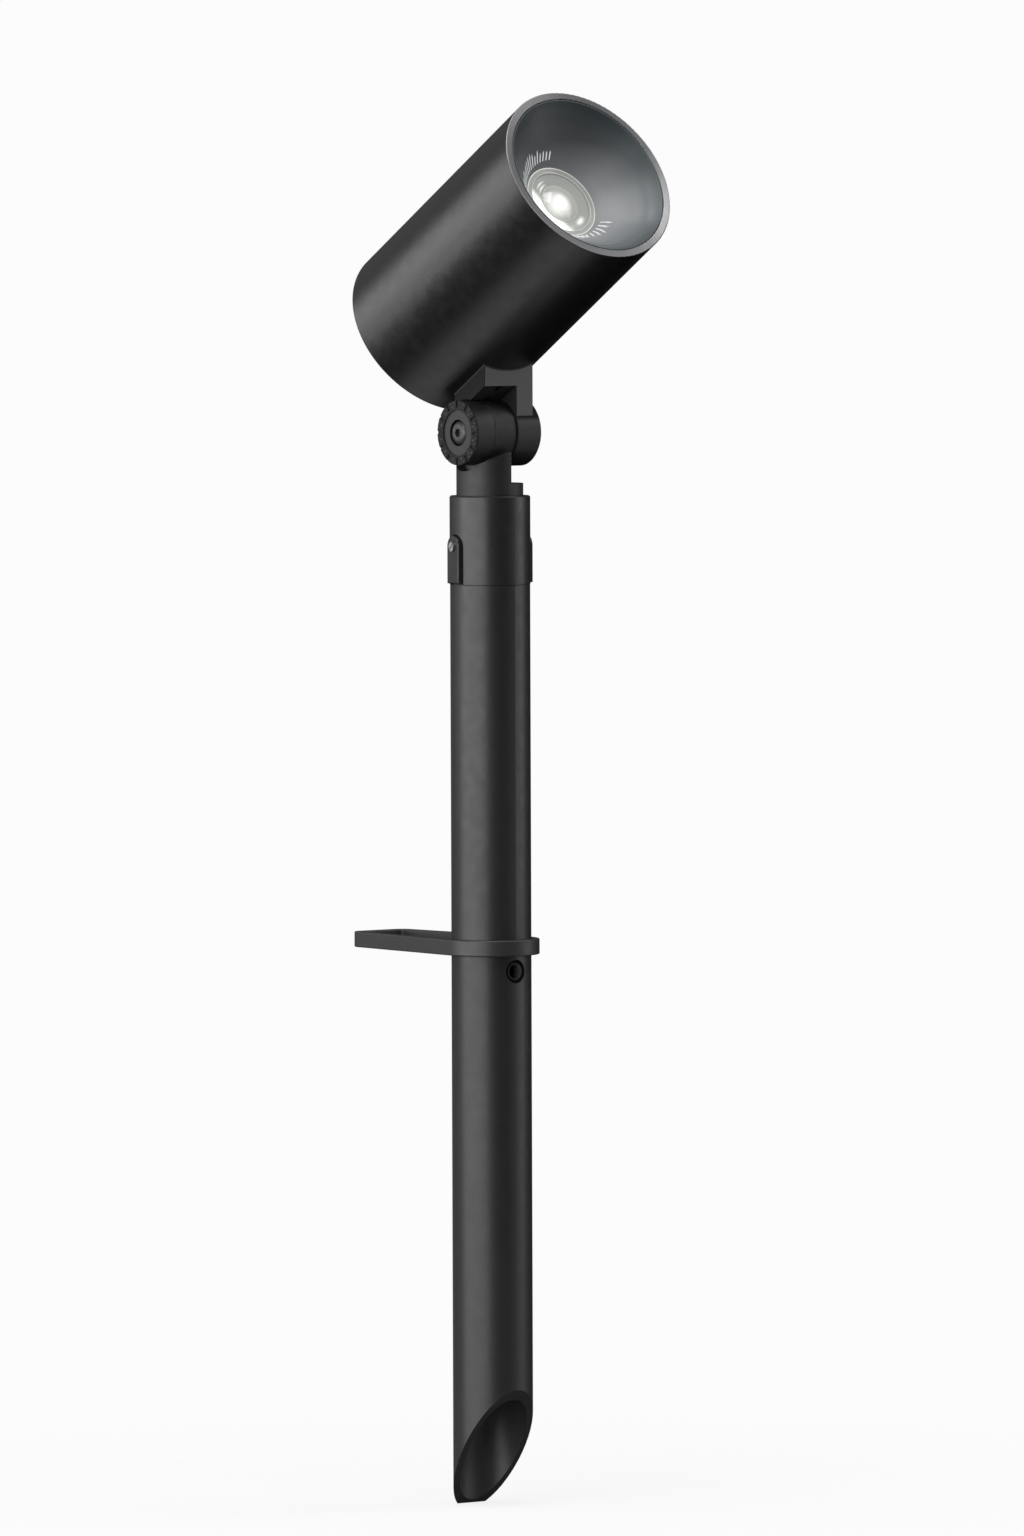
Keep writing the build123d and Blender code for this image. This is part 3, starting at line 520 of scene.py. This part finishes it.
def coneMaterial():
    material, tree, shader = newMaterial("satinCone")
    rings = headRings(tree, cone["count"])
    # towards the lens the grey turns paler: painted light of the lens on the cone
    reach = ranged(tree, (rings, "Radius"), cone["footRadius"], cone["rimRadius"])
    band = calc(tree, "MULTIPLY", calc(tree, "SUBTRACT", (rings, "Broad Rings"), 0.5), cone["ringShare"])
    tone = mixed(tree, calc(tree, "ADD", reach, band), cone["foot"], cone["rim"])
    feed(tree, shader.inputs["Base Color"], tone)
    feed(tree, shader.inputs["Roughness"], ranged(tree, (rings, "Broad Rings"), *noiseBand, *cone["rough"]))
    addBump(tree, shader, (rings, "Rings"), cone["bump"], cone["bumpShare"])
    place = {"Angle": (rings, "Angle"), "Radius": (rings, "Radius")}
    leftFan = useGroup(tree, fanGroup, {**place, **cone["leftFan"]})
    rightFan = useGroup(tree, fanGroup, {**place, **cone["rightFan"]})
    fans = calc(tree, "MAXIMUM", (leftFan, "Mask"), (rightFan, "Mask"))
    # an emission pool fading out from the lens, its centre shifted to the lower right: painted light of the
    # lens on the cone
    turn = math.radians(cone["glowAngle"])
    shifted = headFoot + (side * math.cos(turn) + lift * math.sin(turn)) * cone["glowShift"]
    pool = useGroup(tree, turnedGroup, {"Centre": shifted, "Axis": beam, "Side": side})
    spill = ranged(tree, (pool, "Radius"), headShape["lensRadius"], cone["glowTo"], 1, 0)
    glow = mixed(tree, spill, (0, 0, 0, 1), cone["glow"])
    feed(tree, shader.inputs["Emission Color"], mixed(tree, fans, glow, cone["fanLight"]))
    shader.inputs["Emission Strength"].default_value = 1.0
    return material


# clear lens over the lit emitter: its emission is painted light, a bright dome, a crescent in the ring round
# it, glints and thin bright steps, as painted glow and painted reflections
lensLook = {
    "tint": (0.22, 0.235, 0.215, 1),
    "glow": (1.0, 1.0, 0.965, 1),
    "ior": 1.49,
    "clear": 0.35,
    "rough": (0.05, 0.11),
    "cloudScale": 300.0,
    "count": 900.0,
    "streak": (0.9, 1.06),
    "soft": 0.0002,
    "leanAngle": -147.0,
    "base": 0.125,
    "dome": {
        "edge": 0.0062,
        "centre": 0.0020,
        "near": 0.0008,
        "far": 0.0058,
        "light": 0.85,
        "shade": 0.15,
    },
    "ring": {"start": 0.0066, "from": 0.0069, "to": 0.0106, "lean": (0.0036, 0.0070), "light": 1.05},
    "outer": {"from": 0.0109, "lean": (0.0072, 0.0115), "light": 0.75},
    "steps": {"width": 0.00018, "lights": {0.0064: 0.40, 0.01075: 0.25, 0.01235: 0.65}},
    "glints": (
        {"angle": -52.0, "spread": 20.0, "radius": 0.0086, "width": 0.0012, "light": 0.85},
        {"angle": 132.0, "spread": 26.0, "radius": 0.0075, "width": 0.0005, "light": 0.65},
        {"angle": 128.0, "spread": 22.0, "radius": 0.0087, "width": 0.0005, "light": 0.55},
    ),
}


def lensMaterial():
    material, tree, shader = newMaterial("clearLens")
    dome, ring, outer, steps = (lensLook[name] for name in ("dome", "ring", "outer", "steps"))
    shader.inputs["Base Color"].default_value = lensLook["tint"]
    shader.inputs["IOR"].default_value = lensLook["ior"]
    shader.inputs["Transmission Weight"].default_value = lensLook["clear"]
    cloud = noise(tree, objectPlace(tree), lensLook["cloudScale"])
    feed(tree, shader.inputs["Roughness"], ranged(tree, cloud, *noiseBand, *lensLook["rough"]))
    turn = math.radians(lensLook["leanAngle"])
    lean = side * math.cos(turn) + lift * math.sin(turn)
    rings = headRings(tree, lensLook["count"])
    radius = (rings, "Radius")
    soft = lensLook["soft"]
    away = vectorCalc(tree, "SUBTRACT", objectPlace(tree), headFoot)
    leaning = vectorCalc(tree, "DOT_PRODUCT", away, lean)
    domeCentre = headFoot + lean * dome["centre"]
    spot = useGroup(tree, turnedGroup, {"Centre": domeCentre, "Axis": beam, "Side": side})
    domeLight = ranged(tree, (spot, "Radius"), dome["near"], dome["far"], dome["light"], dome["shade"], True)
    ringLight = ranged(tree, leaning, *ring["lean"], 0, ring["light"], True)
    outerLight = ranged(tree, leaning, *outer["lean"], 0, outer["light"], True)
    inDome = ranged(tree, radius, dome["edge"], dome["edge"] + soft, 1, 0)
    pastStart = ranged(tree, radius, ring["start"], ring["from"])
    inRing = calc(tree, "MULTIPLY", pastStart, ranged(tree, radius, ring["to"], ring["to"] + soft, 1, 0))
    inOuter = ranged(tree, radius, outer["from"] - soft, outer["from"])
    level = calc(tree, "ADD", lensLook["base"], calc(tree, "MULTIPLY", domeLight, inDome))
    for light, mask in ((ringLight, inRing), (outerLight, inOuter)):
        level = calc(tree, "ADD", level, calc(tree, "MULTIPLY", light, mask))
    for edge, light in steps["lights"].items():
        off = calc(tree, "ABSOLUTE", calc(tree, "SUBTRACT", radius, edge))
        level = calc(tree, "ADD", level, ranged(tree, off, 0, steps["width"], light, 0))
    for glint in lensLook["glints"]:
        off = calc(tree, "ABSOLUTE", calc(tree, "SUBTRACT", radius, glint["radius"]))
        turned = calc(tree, "ABSOLUTE", calc(tree, "SUBTRACT", (rings, "Angle"), glint["angle"]))
        across = ranged(tree, off, 0, glint["width"], 1, 0)
        flash = calc(tree, "MULTIPLY", across, ranged(tree, turned, 0, glint["spread"], 1, 0, True))
        level = calc(tree, "ADD", level, calc(tree, "MULTIPLY", flash, glint["light"]))
    streak = ranged(tree, (rings, "Rings"), *noiseBand, *lensLook["streak"])
    level = calc(tree, "MULTIPLY", level, streak)
    feed(tree, shader.inputs["Emission Color"], mixed(tree, level, (0, 0, 0, 1), lensLook["glow"]))
    shader.inputs["Emission Strength"].default_value = 1.0
    return material


# emitter: grainy yellow phosphor
emitter = {
    "dark": (0.85, 0.70, 0.22, 1),
    "light": (0.95, 0.82, 0.35, 1),
    "glow": (1.0, 0.97, 0.9, 1),
    "power": 1.0,
    "grainScale": 2500.0,
    "rough": 0.35,
}


def emitterMaterial():
    material, tree, shader = newMaterial("phosphor")
    grain = noise(tree, objectPlace(tree), emitter["grainScale"])
    feed(tree, shader.inputs["Base Color"], mixed(tree, grain, emitter["dark"], emitter["light"]))
    shader.inputs["Roughness"].default_value = emitter["rough"]
    shader.inputs["Emission Color"].default_value = emitter["glow"]
    shader.inputs["Emission Strength"].default_value = emitter["power"]
    return material


# spreader: plain aluminium with lathe rings
spreader = {
    "dark": (0.55, 0.55, 0.56, 1),
    "light": (0.68, 0.68, 0.69, 1),
    "rough": (0.25, 0.38),
    "count": 4200.0,
    "bump": 0.00002,
    "bumpShare": 0.3,
}


def spreaderMaterial():
    material, tree, shader = newMaterial("turnedAluminium")
    rings = headRings(tree, spreader["count"])
    tone = mixed(tree, (rings, "Rings"), spreader["dark"], spreader["light"])
    rough = ranged(tree, (rings, "Broad Rings"), *noiseBand, *spreader["rough"])
    feed(tree, shader.inputs["Base Color"], tone)
    feed(tree, shader.inputs["Roughness"], rough)
    shader.inputs["Metallic"].default_value = 1.0
    addBump(tree, shader, (rings, "Rings"), spreader["bump"], spreader["bumpShare"])
    return material


# plain finishes of the small and hidden pieces, each with its own grain
plain = {
    "softRubber": {
        "low": (0.012, 0.012, 0.012),
        "high": (0.022, 0.022, 0.022),
        "rough": (0.62, 0.78),
        "scale": 900.0,
        "bump": 0.00002,
        "metal": 0.0,
    },
    "paleSteel": {
        "low": (0.50, 0.50, 0.51),
        "high": (0.62, 0.62, 0.63),
        "rough": (0.26, 0.40),
        "scale": 1600.0,
        "bump": 0.00001,
        "metal": 1.0,
    },
    "blackSteel": {
        "low": (0.045, 0.045, 0.048),
        "high": (0.070, 0.070, 0.073),
        "rough": (0.30, 0.42),
        "scale": 1600.0,
        "bump": 0.00001,
        "metal": 0.3,
    },
    "blackNylon": {
        "low": (0.020, 0.020, 0.021),
        "high": (0.034, 0.034, 0.036),
        "rough": (0.45, 0.55),
        "scale": 700.0,
        "bump": 0.00001,
        "metal": 0.0,
    },
    "blackHolder": {
        "low": (0.02, 0.02, 0.02),
        "high": (0.035, 0.035, 0.035),
        "rough": (0.5, 0.62),
        "scale": 900.0,
        "bump": 0.00001,
        "metal": 0.0,
    },
    "whiteMask": {
        "low": (0.74, 0.75, 0.74),
        "high": (0.84, 0.85, 0.84),
        "rough": (0.35, 0.5),
        "scale": 1100.0,
        "bump": 0.00001,
        "metal": 0.0,
    },
    "greenBoard": {
        "low": (0.010, 0.075, 0.030),
        "high": (0.020, 0.115, 0.050),
        "rough": (0.35, 0.5),
        "scale": 800.0,
        "bump": 0.00001,
        "metal": 0.0,
    },
    "blackCases": {
        "low": (0.018, 0.018, 0.02),
        "high": (0.035, 0.035, 0.037),
        "rough": (0.4, 0.55),
        "scale": 900.0,
        "bump": 0.00001,
        "metal": 0.0,
    },
    "redLead": {
        "low": (0.34, 0.02, 0.02),
        "high": (0.45, 0.035, 0.03),
        "rough": (0.35, 0.45),
        "scale": 700.0,
        "bump": 0.00001,
        "metal": 0.0,
    },
    "scaleGrey": {
        "low": (0.085, 0.085, 0.09),
        "high": (0.12, 0.12, 0.125),
        "rough": (0.5, 0.6),
        "scale": 3000.0,
        "bump": 0.000005,
        "metal": 0.0,
    },
}


plainGrain = {"detail": 4.0, "bumpShare": 0.4}


def plainMaterial(name, values):
    material, tree, shader = newMaterial(name)
    grain = noise(tree, objectPlace(tree), values["scale"], plainGrain["detail"])
    feed(tree, shader.inputs["Base Color"], mixed(tree, grain, (*values["low"], 1), (*values["high"], 1)))
    feed(tree, shader.inputs["Roughness"], ranged(tree, grain, *noiseBand, *values["rough"]))
    shader.inputs["Metallic"].default_value = values["metal"]
    addBump(tree, shader, grain, values["bump"], plainGrain["bumpShare"])
    return material


# grommet: dull black lip; the bore inside it is painted paler, painted light on its far wall
grommet = {
    "centreZ": -0.005,
    "bore": 0.00255,
    "lip": (0.003, 0.003, 0.003, 1),
    "wall": (0.08, 0.08, 0.082, 1),
    "shine": 0.08,
    "rough": (0.7, 0.85),
    "scale": 900.0,
    "bump": 0.00002,
}


def grommetMaterial():
    material, tree, shader = newMaterial("grommetRubber")
    centre = (0, 0, grommet["centreZ"])
    rings = useGroup(tree, turnedGroup, {"Centre": centre, "Axis": (1, 0, 0), "Side": side})
    # the bore is painted paler than the lip: painted light
    inBore = ranged(tree, (rings, "Radius"), grommet["bore"], grommet["bore"] + softEdge, 1, 0)
    feed(tree, shader.inputs["Base Color"], mixed(tree, inBore, grommet["lip"], grommet["wall"]))
    shader.inputs["Specular IOR Level"].default_value = grommet["shine"]
    grain = noise(tree, objectPlace(tree), grommet["scale"], plainGrain["detail"])
    feed(tree, shader.inputs["Roughness"], ranged(tree, grain, *noiseBand, *grommet["rough"]))
    addBump(tree, shader, grain, grommet["bump"], plainGrain["bumpShare"])
    return material


finish = {name: plainMaterial(name, values) for name, values in plain.items()}
dressed = {
    "spike_pole": poleMaterial(),
    "step_loop": stepPaint,
    "cable_grommet": grommetMaterial(),
    "pole_collar": castPaint,
    "collar_seal": finish["softRubber"],
    "lock_lugs": castPaint,
    "lock_screws": finish["paleSteel"],
    "knuckle_stem": stemPaint,
    "stem_seal": finish["softRubber"],
    "tilt_dial": dialMaterial(),
    "friction_washer": finish["blackNylon"],
    "saddle_bracket": bracketMaterial(),
    "saddle_gasket": finish["softRubber"],
    "bracket_screws": finish["paleSteel"],
    "pivot_screw": finish["blackSteel"],
    "pivot_nut": finish["paleSteel"],
    "head_housing": housingMaterial(),
    "anti_glare_baffle": coneMaterial(),
    "lens": lensMaterial(),
    "lens_seal": finish["softRubber"],
    "lens_holder": finish["blackHolder"],
    "led_emitter": emitterMaterial(),
    "led_board": finish["whiteMask"],
    "board_screws": finish["paleSteel"],
    "heat_spreader": spreaderMaterial(),
    "spreader_screws": finish["paleSteel"],
    "driver_board": finish["greenBoard"],
    "driver_parts": finish["blackCases"],
    "led_leads": finish["redLead"],
    "wire_seal": finish["softRubber"],
    "rear_cap": castPaint,
    "rear_seal": finish["softRubber"],
    "rear_cap_screws": finish["blackSteel"],
}
for name, node in cadNodes.items():
    for slot in node.material_slots:
        slot.material = dressed[name]
print("materials set on", len(dressed), "nodes")

# dial scale: two short ticks between the notches of the CAD, and plain position numbers
dial = {
    "notches": 12,
    "ticksPerNotch": 3,
    "tickRadius": 0.0096,
    "tickSize": (0.0008, 0.00013, 0.00006),
    "numberRadius": 0.0083,
    "numberSize": 0.0013,
    "numberDepth": 0.00002,
    "numberSteps": 3,
}
# local x runs along +X, local y up, local z out of the dial
dialTurn = Matrix.Rotation(math.radians(90), 4, "X")
dialPlace = Matrix.Translation((tiltCentre.x, dialFace, tiltCentre.z)) @ dialTurn


def makeTickTree():
    tree = bpy.data.node_groups.new("dialTicks", "GeometryNodeTree")
    keys = {}
    for label, kind in (
        ("Count", "NodeSocketInt"),
        ("Keep Free", "NodeSocketInt"),
        ("Radius", "NodeSocketFloat"),
        ("Size", "NodeSocketVector"),
        ("Finish", "NodeSocketMaterial"),
    ):
        keys[label] = tree.interface.new_socket(name=label, in_out="INPUT", socket_type=kind).identifier
    tree.interface.new_socket(name="Geometry", in_out="OUTPUT", socket_type="NodeSocketGeometry")
    given = tree.nodes.new("NodeGroupInput")
    ring = tree.nodes.new("GeometryNodeMeshCircle")
    bar = tree.nodes.new("GeometryNodeMeshCube")
    aim = tree.nodes.new("FunctionNodeAlignRotationToVector")
    aim.axis = "X"
    spread = tree.nodes.new("GeometryNodeInstanceOnPoints")
    real = tree.nodes.new("GeometryNodeRealizeInstances")
    coat = tree.nodes.new("GeometryNodeSetMaterial")
    result = tree.nodes.new("NodeGroupOutput")
    step = calc(tree, "MODULO", (tree.nodes.new("GeometryNodeInputIndex"), "Index"), (given, "Keep Free"))
    feed(tree, ring.inputs["Vertices"], (given, "Count"))
    feed(tree, ring.inputs["Radius"], (given, "Radius"))
    feed(tree, bar.inputs["Size"], (given, "Size"))
    feed(tree, aim.inputs["Vector"], (tree.nodes.new("GeometryNodeInputPosition"), "Position"))
    feed(tree, spread.inputs["Points"], (ring, "Mesh"))
    feed(tree, spread.inputs["Selection"], calc(tree, "GREATER_THAN", step, 0.5))
    feed(tree, spread.inputs["Instance"], (bar, "Mesh"))
    feed(tree, spread.inputs["Rotation"], (aim, "Rotation"))
    feed(tree, real.inputs["Geometry"], (spread, "Instances"))
    feed(tree, coat.inputs["Geometry"], (real, "Geometry"))
    feed(tree, coat.inputs["Material"], (given, "Finish"))
    feed(tree, result.inputs["Geometry"], (coat, "Geometry"))
    return tree, keys


def finishPiece(name, mesh, body):
    piece = bpy.data.objects.new(name, mesh)
    scene.collection.objects.link(piece)
    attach(piece, body)
    return piece


def meshOf(source):
    bpy.context.view_layer.update()
    graph = bpy.context.evaluated_depsgraph_get()
    mesh = bpy.data.meshes.new_from_object(source.evaluated_get(graph))
    return mesh


def makeTicks():
    tree, keys = makeTickTree()
    maker = bpy.data.objects.new("tickMaker", bpy.data.meshes.new("tickMaker"))
    scene.collection.objects.link(maker)
    modifier = maker.modifiers.new("ticks", "NODES")
    modifier.node_group = tree
    values = {
        "Count": dial["notches"] * dial["ticksPerNotch"],
        "Keep Free": dial["ticksPerNotch"],
        "Radius": dial["tickRadius"],
        "Size": dial["tickSize"],
        "Finish": finish["scaleGrey"],
    }
    for label, value in values.items():
        modifier[keys[label]] = value
    mesh = meshOf(maker)
    maker.modifiers.remove(modifier)
    bpy.data.objects.remove(maker)
    mesh.name = "dialTicks"
    mesh.transform(dialPlace)
    return finishPiece("dialTicks", mesh, "stem")


def makeNumbers():
    build = bmesh.new()
    pitch = 2 * math.pi / dial["notches"]
    for index in range(dial["notches"]):
        text = bpy.data.curves.new("position", "FONT")
        text.body = str(index + 1)
        text.align_x = "CENTER"
        text.align_y = "CENTER"
        text.size = dial["numberSize"]
        text.extrude = dial["numberDepth"]
        text.resolution_u = dial["numberSteps"]
        writer = bpy.data.objects.new("position", text)
        scene.collection.objects.link(writer)
        mesh = meshOf(writer)
        bpy.data.objects.remove(writer)
        turn = math.pi / 2 - pitch * (index + 0.5)
        out = Matrix.Rotation(turn - math.pi / 2, 4, "Z") @ Matrix.Translation((0, dial["numberRadius"], 0))
        mesh.transform(dialPlace @ out)
        build.from_mesh(mesh)
        bpy.data.meshes.remove(mesh)
    mesh = bpy.data.meshes.new("dialNumbers")
    build.to_mesh(mesh)
    build.free()
    mesh.materials.append(finish["scaleGrey"])
    return finishPiece("dialNumbers", mesh, "stem")


makeTicks()
makeNumbers()
print("dial scale made")

# floor: pale, keeps a soft shadow near the tip and fades into the background
floorLook = {
    "level": cadBox[0].z,
    "radius": 0.42,
    "fadeFrom": 0.10,
    "fadeTo": 0.36,
    "white": 1.0,
    "matt": 0.8,
    "shadowShare": 0.16,
    "segments": 96,
}


def makeFloor():
    mesh = bpy.data.meshes.new("studioFloor")
    build = bmesh.new()
    edge = {"segments": floorLook["segments"], "radius": floorLook["radius"]}
    bmesh.ops.create_circle(build, cap_ends=True, **edge)
    build.to_mesh(mesh)
    build.free()
    floor = bpy.data.objects.new("studioFloor", mesh)
    floor.location.z = floorLook["level"]
    floor.visible_glossy = False
    scene.collection.objects.link(floor)
    material = bpy.data.materials.new("paleFloor")
    material.use_nodes = True
    tree = material.node_tree
    tree.nodes.clear()
    out = tree.nodes.new("ShaderNodeOutputMaterial")
    away = vectorCalc(tree, "LENGTH", objectPlace(tree))
    fade = ranged(tree, away, floorLook["fadeFrom"], floorLook["fadeTo"])
    matt = tree.nodes.new("ShaderNodeBsdfDiffuse")
    matt.inputs["Color"].default_value = (*[floorLook["matt"]] * 3, 1)
    glow = tree.nodes.new("ShaderNodeEmission")
    glow.inputs["Color"].default_value = (*[floorLook["white"]] * 3, 1)
    sight = tree.nodes.new("ShaderNodeLightPath")
    share = calc(tree, "MULTIPLY", (sight, "Is Camera Ray"), 1 - floorLook["shadowShare"])
    lit = tree.nodes.new("ShaderNodeMixShader")
    clear = tree.nodes.new("ShaderNodeBsdfTransparent")
    shown = tree.nodes.new("ShaderNodeMixShader")
    for mixer, sources in (
        (lit, (share, (matt, "BSDF"), (glow, "Emission"))),
        (shown, (fade, (lit, "Shader"), (clear, "BSDF"))),
    ):
        for socket, source in zip(mixer.inputs, sources):
            feed(tree, socket, source)
    feed(tree, out.inputs["Surface"], (shown, "Shader"))
    mesh.materials.append(material)


makeFloor()

# camera: where the photo was taken from, with a long lens
shot = {
    "azimuth": 51.8,
    "elevation": 2.8,
    "roll": -0.2,
    "lens": 325.0,
    "pixel": 0.000317,
    "axisX": 490.8,
    "groundY": 954.0,
    "width": 1024,
    "height": 1536,
    "sensor": 36.0,
    "clip": (0.05, 50.0),
}


def makeCamera():
    a, e = math.radians(shot["azimuth"]), math.radians(shot["elevation"])
    back = Vector((math.sin(a) * math.cos(e), -math.cos(a) * math.cos(e), math.sin(e)))
    right = Vector((math.cos(a), math.sin(a), 0))
    data = bpy.data.cameras.new("shotCamera")
    data.lens = shot["lens"]
    data.sensor_width = shot["sensor"]
    data.clip_start, data.clip_end = shot["clip"]
    camera = bpy.data.objects.new("shotCamera", data)
    distance = shot["pixel"] * shot["height"] * shot["lens"] / shot["sensor"]
    target = right * (shot["width"] / 2 - shot["axisX"]) * shot["pixel"]
    target.z = (shot["groundY"] - shot["height"] / 2) * shot["pixel"] / math.cos(e)
    camera.location = target + back * distance
    face = (-back).to_track_quat("-Z", "Y").to_matrix().to_4x4()
    camera.rotation_euler = (face @ Matrix.Rotation(math.radians(shot["roll"]), 4, "Z")).to_euler()
    scene.collection.objects.link(camera)
    scene.camera = camera
    return Vector((back.x, back.y, 0)).normalized(), right


front, right = makeCamera()


def direction(turn, rise):
    # degrees to the right of the camera's side of the object, and above the horizon
    turn, rise = math.radians(turn), math.radians(rise)
    level = front * math.cos(turn) + right * math.sin(turn)
    return level * math.cos(rise) + Vector((0, 0, math.sin(rise)))


# studio light
softboxes = {
    "broadLeft": {"turn": -52, "rise": 4, "distance": 2.6, "width": 4.5, "height": 1.3, "power": 76.0},
    "backLeft": {"turn": -108, "rise": 12, "distance": 1.6, "width": 0.8, "height": 0.5, "power": 2.0},
    "sideRight": {"turn": 97, "rise": 28, "distance": 1.5, "width": 0.8, "height": 2.1, "power": 9.2},
    "highLeft": {"turn": -40, "rise": 47, "distance": 1.4, "width": 0.6, "height": 0.6, "power": 3.4},
    "overhead": {"turn": 0, "rise": 80, "distance": 1.2, "width": 0.8, "height": 0.8, "power": 12.5},
}
lightAim = Vector((0, 0, 0.06))


def makeLights():
    for name, box in softboxes.items():
        way = direction(box["turn"], box["rise"])
        data = bpy.data.lights.new(name, "AREA")
        data.shape = "RECTANGLE"
        data.size = box["width"]
        data.size_y = box["height"]
        data.energy = box["power"]
        lamp = bpy.data.objects.new(name, data)
        lamp.location = lightAim + way * box["distance"]
        lamp.rotation_euler = way.to_track_quat("Z", "Y").to_euler()
        scene.collection.objects.link(lamp)


makeLights()

# world: white where the camera or glass looks; reflections see a dimmer room with dark flags and lit pools
room = {
    "white": 0.972,
    "fill": 0.05,
    "reflect": 0.16,
    "low": {"from": -0.10, "to": -0.40, "share": 0.05},
    "flags": {
        "darkFront": {"turn": 34, "rise": 0, "near": 18, "far": 63, "share": 0.07},
        "darkBack": {"turn": 152, "rise": -5, "near": 22, "far": 58, "share": 0.2},
    },
    "pools": {
        "floorLeft": {"turn": -110, "rise": -74, "near": 8, "far": 27, "light": 0.56},
        "floorRight": {"turn": 84, "rise": -22, "near": 8, "far": 38, "light": 0.42},
    },
}


def makeWorld():
    world = bpy.data.worlds.new("studio")
    world.use_nodes = True
    scene.world = world
    tree = world.node_tree
    tree.nodes.clear()
    out = tree.nodes.new("ShaderNodeOutputWorld")
    sky = tree.nodes.new("ShaderNodeBackground")
    sight = tree.nodes.new("ShaderNodeLightPath")
    look = (tree.nodes.new("ShaderNodeTexCoord"), "Generated")

    def patch(area, outside, inside):
        facing = vectorCalc(tree, "DOT_PRODUCT", look, direction(area["turn"], area["rise"]))
        far, near = (math.cos(math.radians(area[edge])) for edge in ("far", "near"))
        return ranged(tree, facing, far, near, outside, inside, True)

    low = room["low"]
    height = vectorCalc(tree, "DOT_PRODUCT", look, Vector((0, 0, 1)))
    mirrored = ranged(tree, height, low["to"], low["from"], room["reflect"] * low["share"], room["reflect"])
    for flag in room["flags"].values():
        mirrored = calc(tree, "MULTIPLY", mirrored, patch(flag, 1.0, flag["share"]))
    for pool in room["pools"].values():
        mirrored = calc(tree, "ADD", mirrored, patch(pool, 0.0, pool["light"]))
    seen = calc(tree, "MAXIMUM", (sight, "Is Camera Ray"), (sight, "Is Transmission Ray"))
    around = ranged(tree, (sight, "Is Glossy Ray"), 0.0, 1.0, room["fill"], mirrored)
    feed(tree, sky.inputs["Strength"], ranged(tree, seen, 0.0, 1.0, around, room["white"]))
    sky.inputs["Color"].default_value = (1, 1, 1, 1)
    feed(tree, out.inputs["Surface"], (sky, "Background"))


makeWorld()
print("camera, lights and room set")
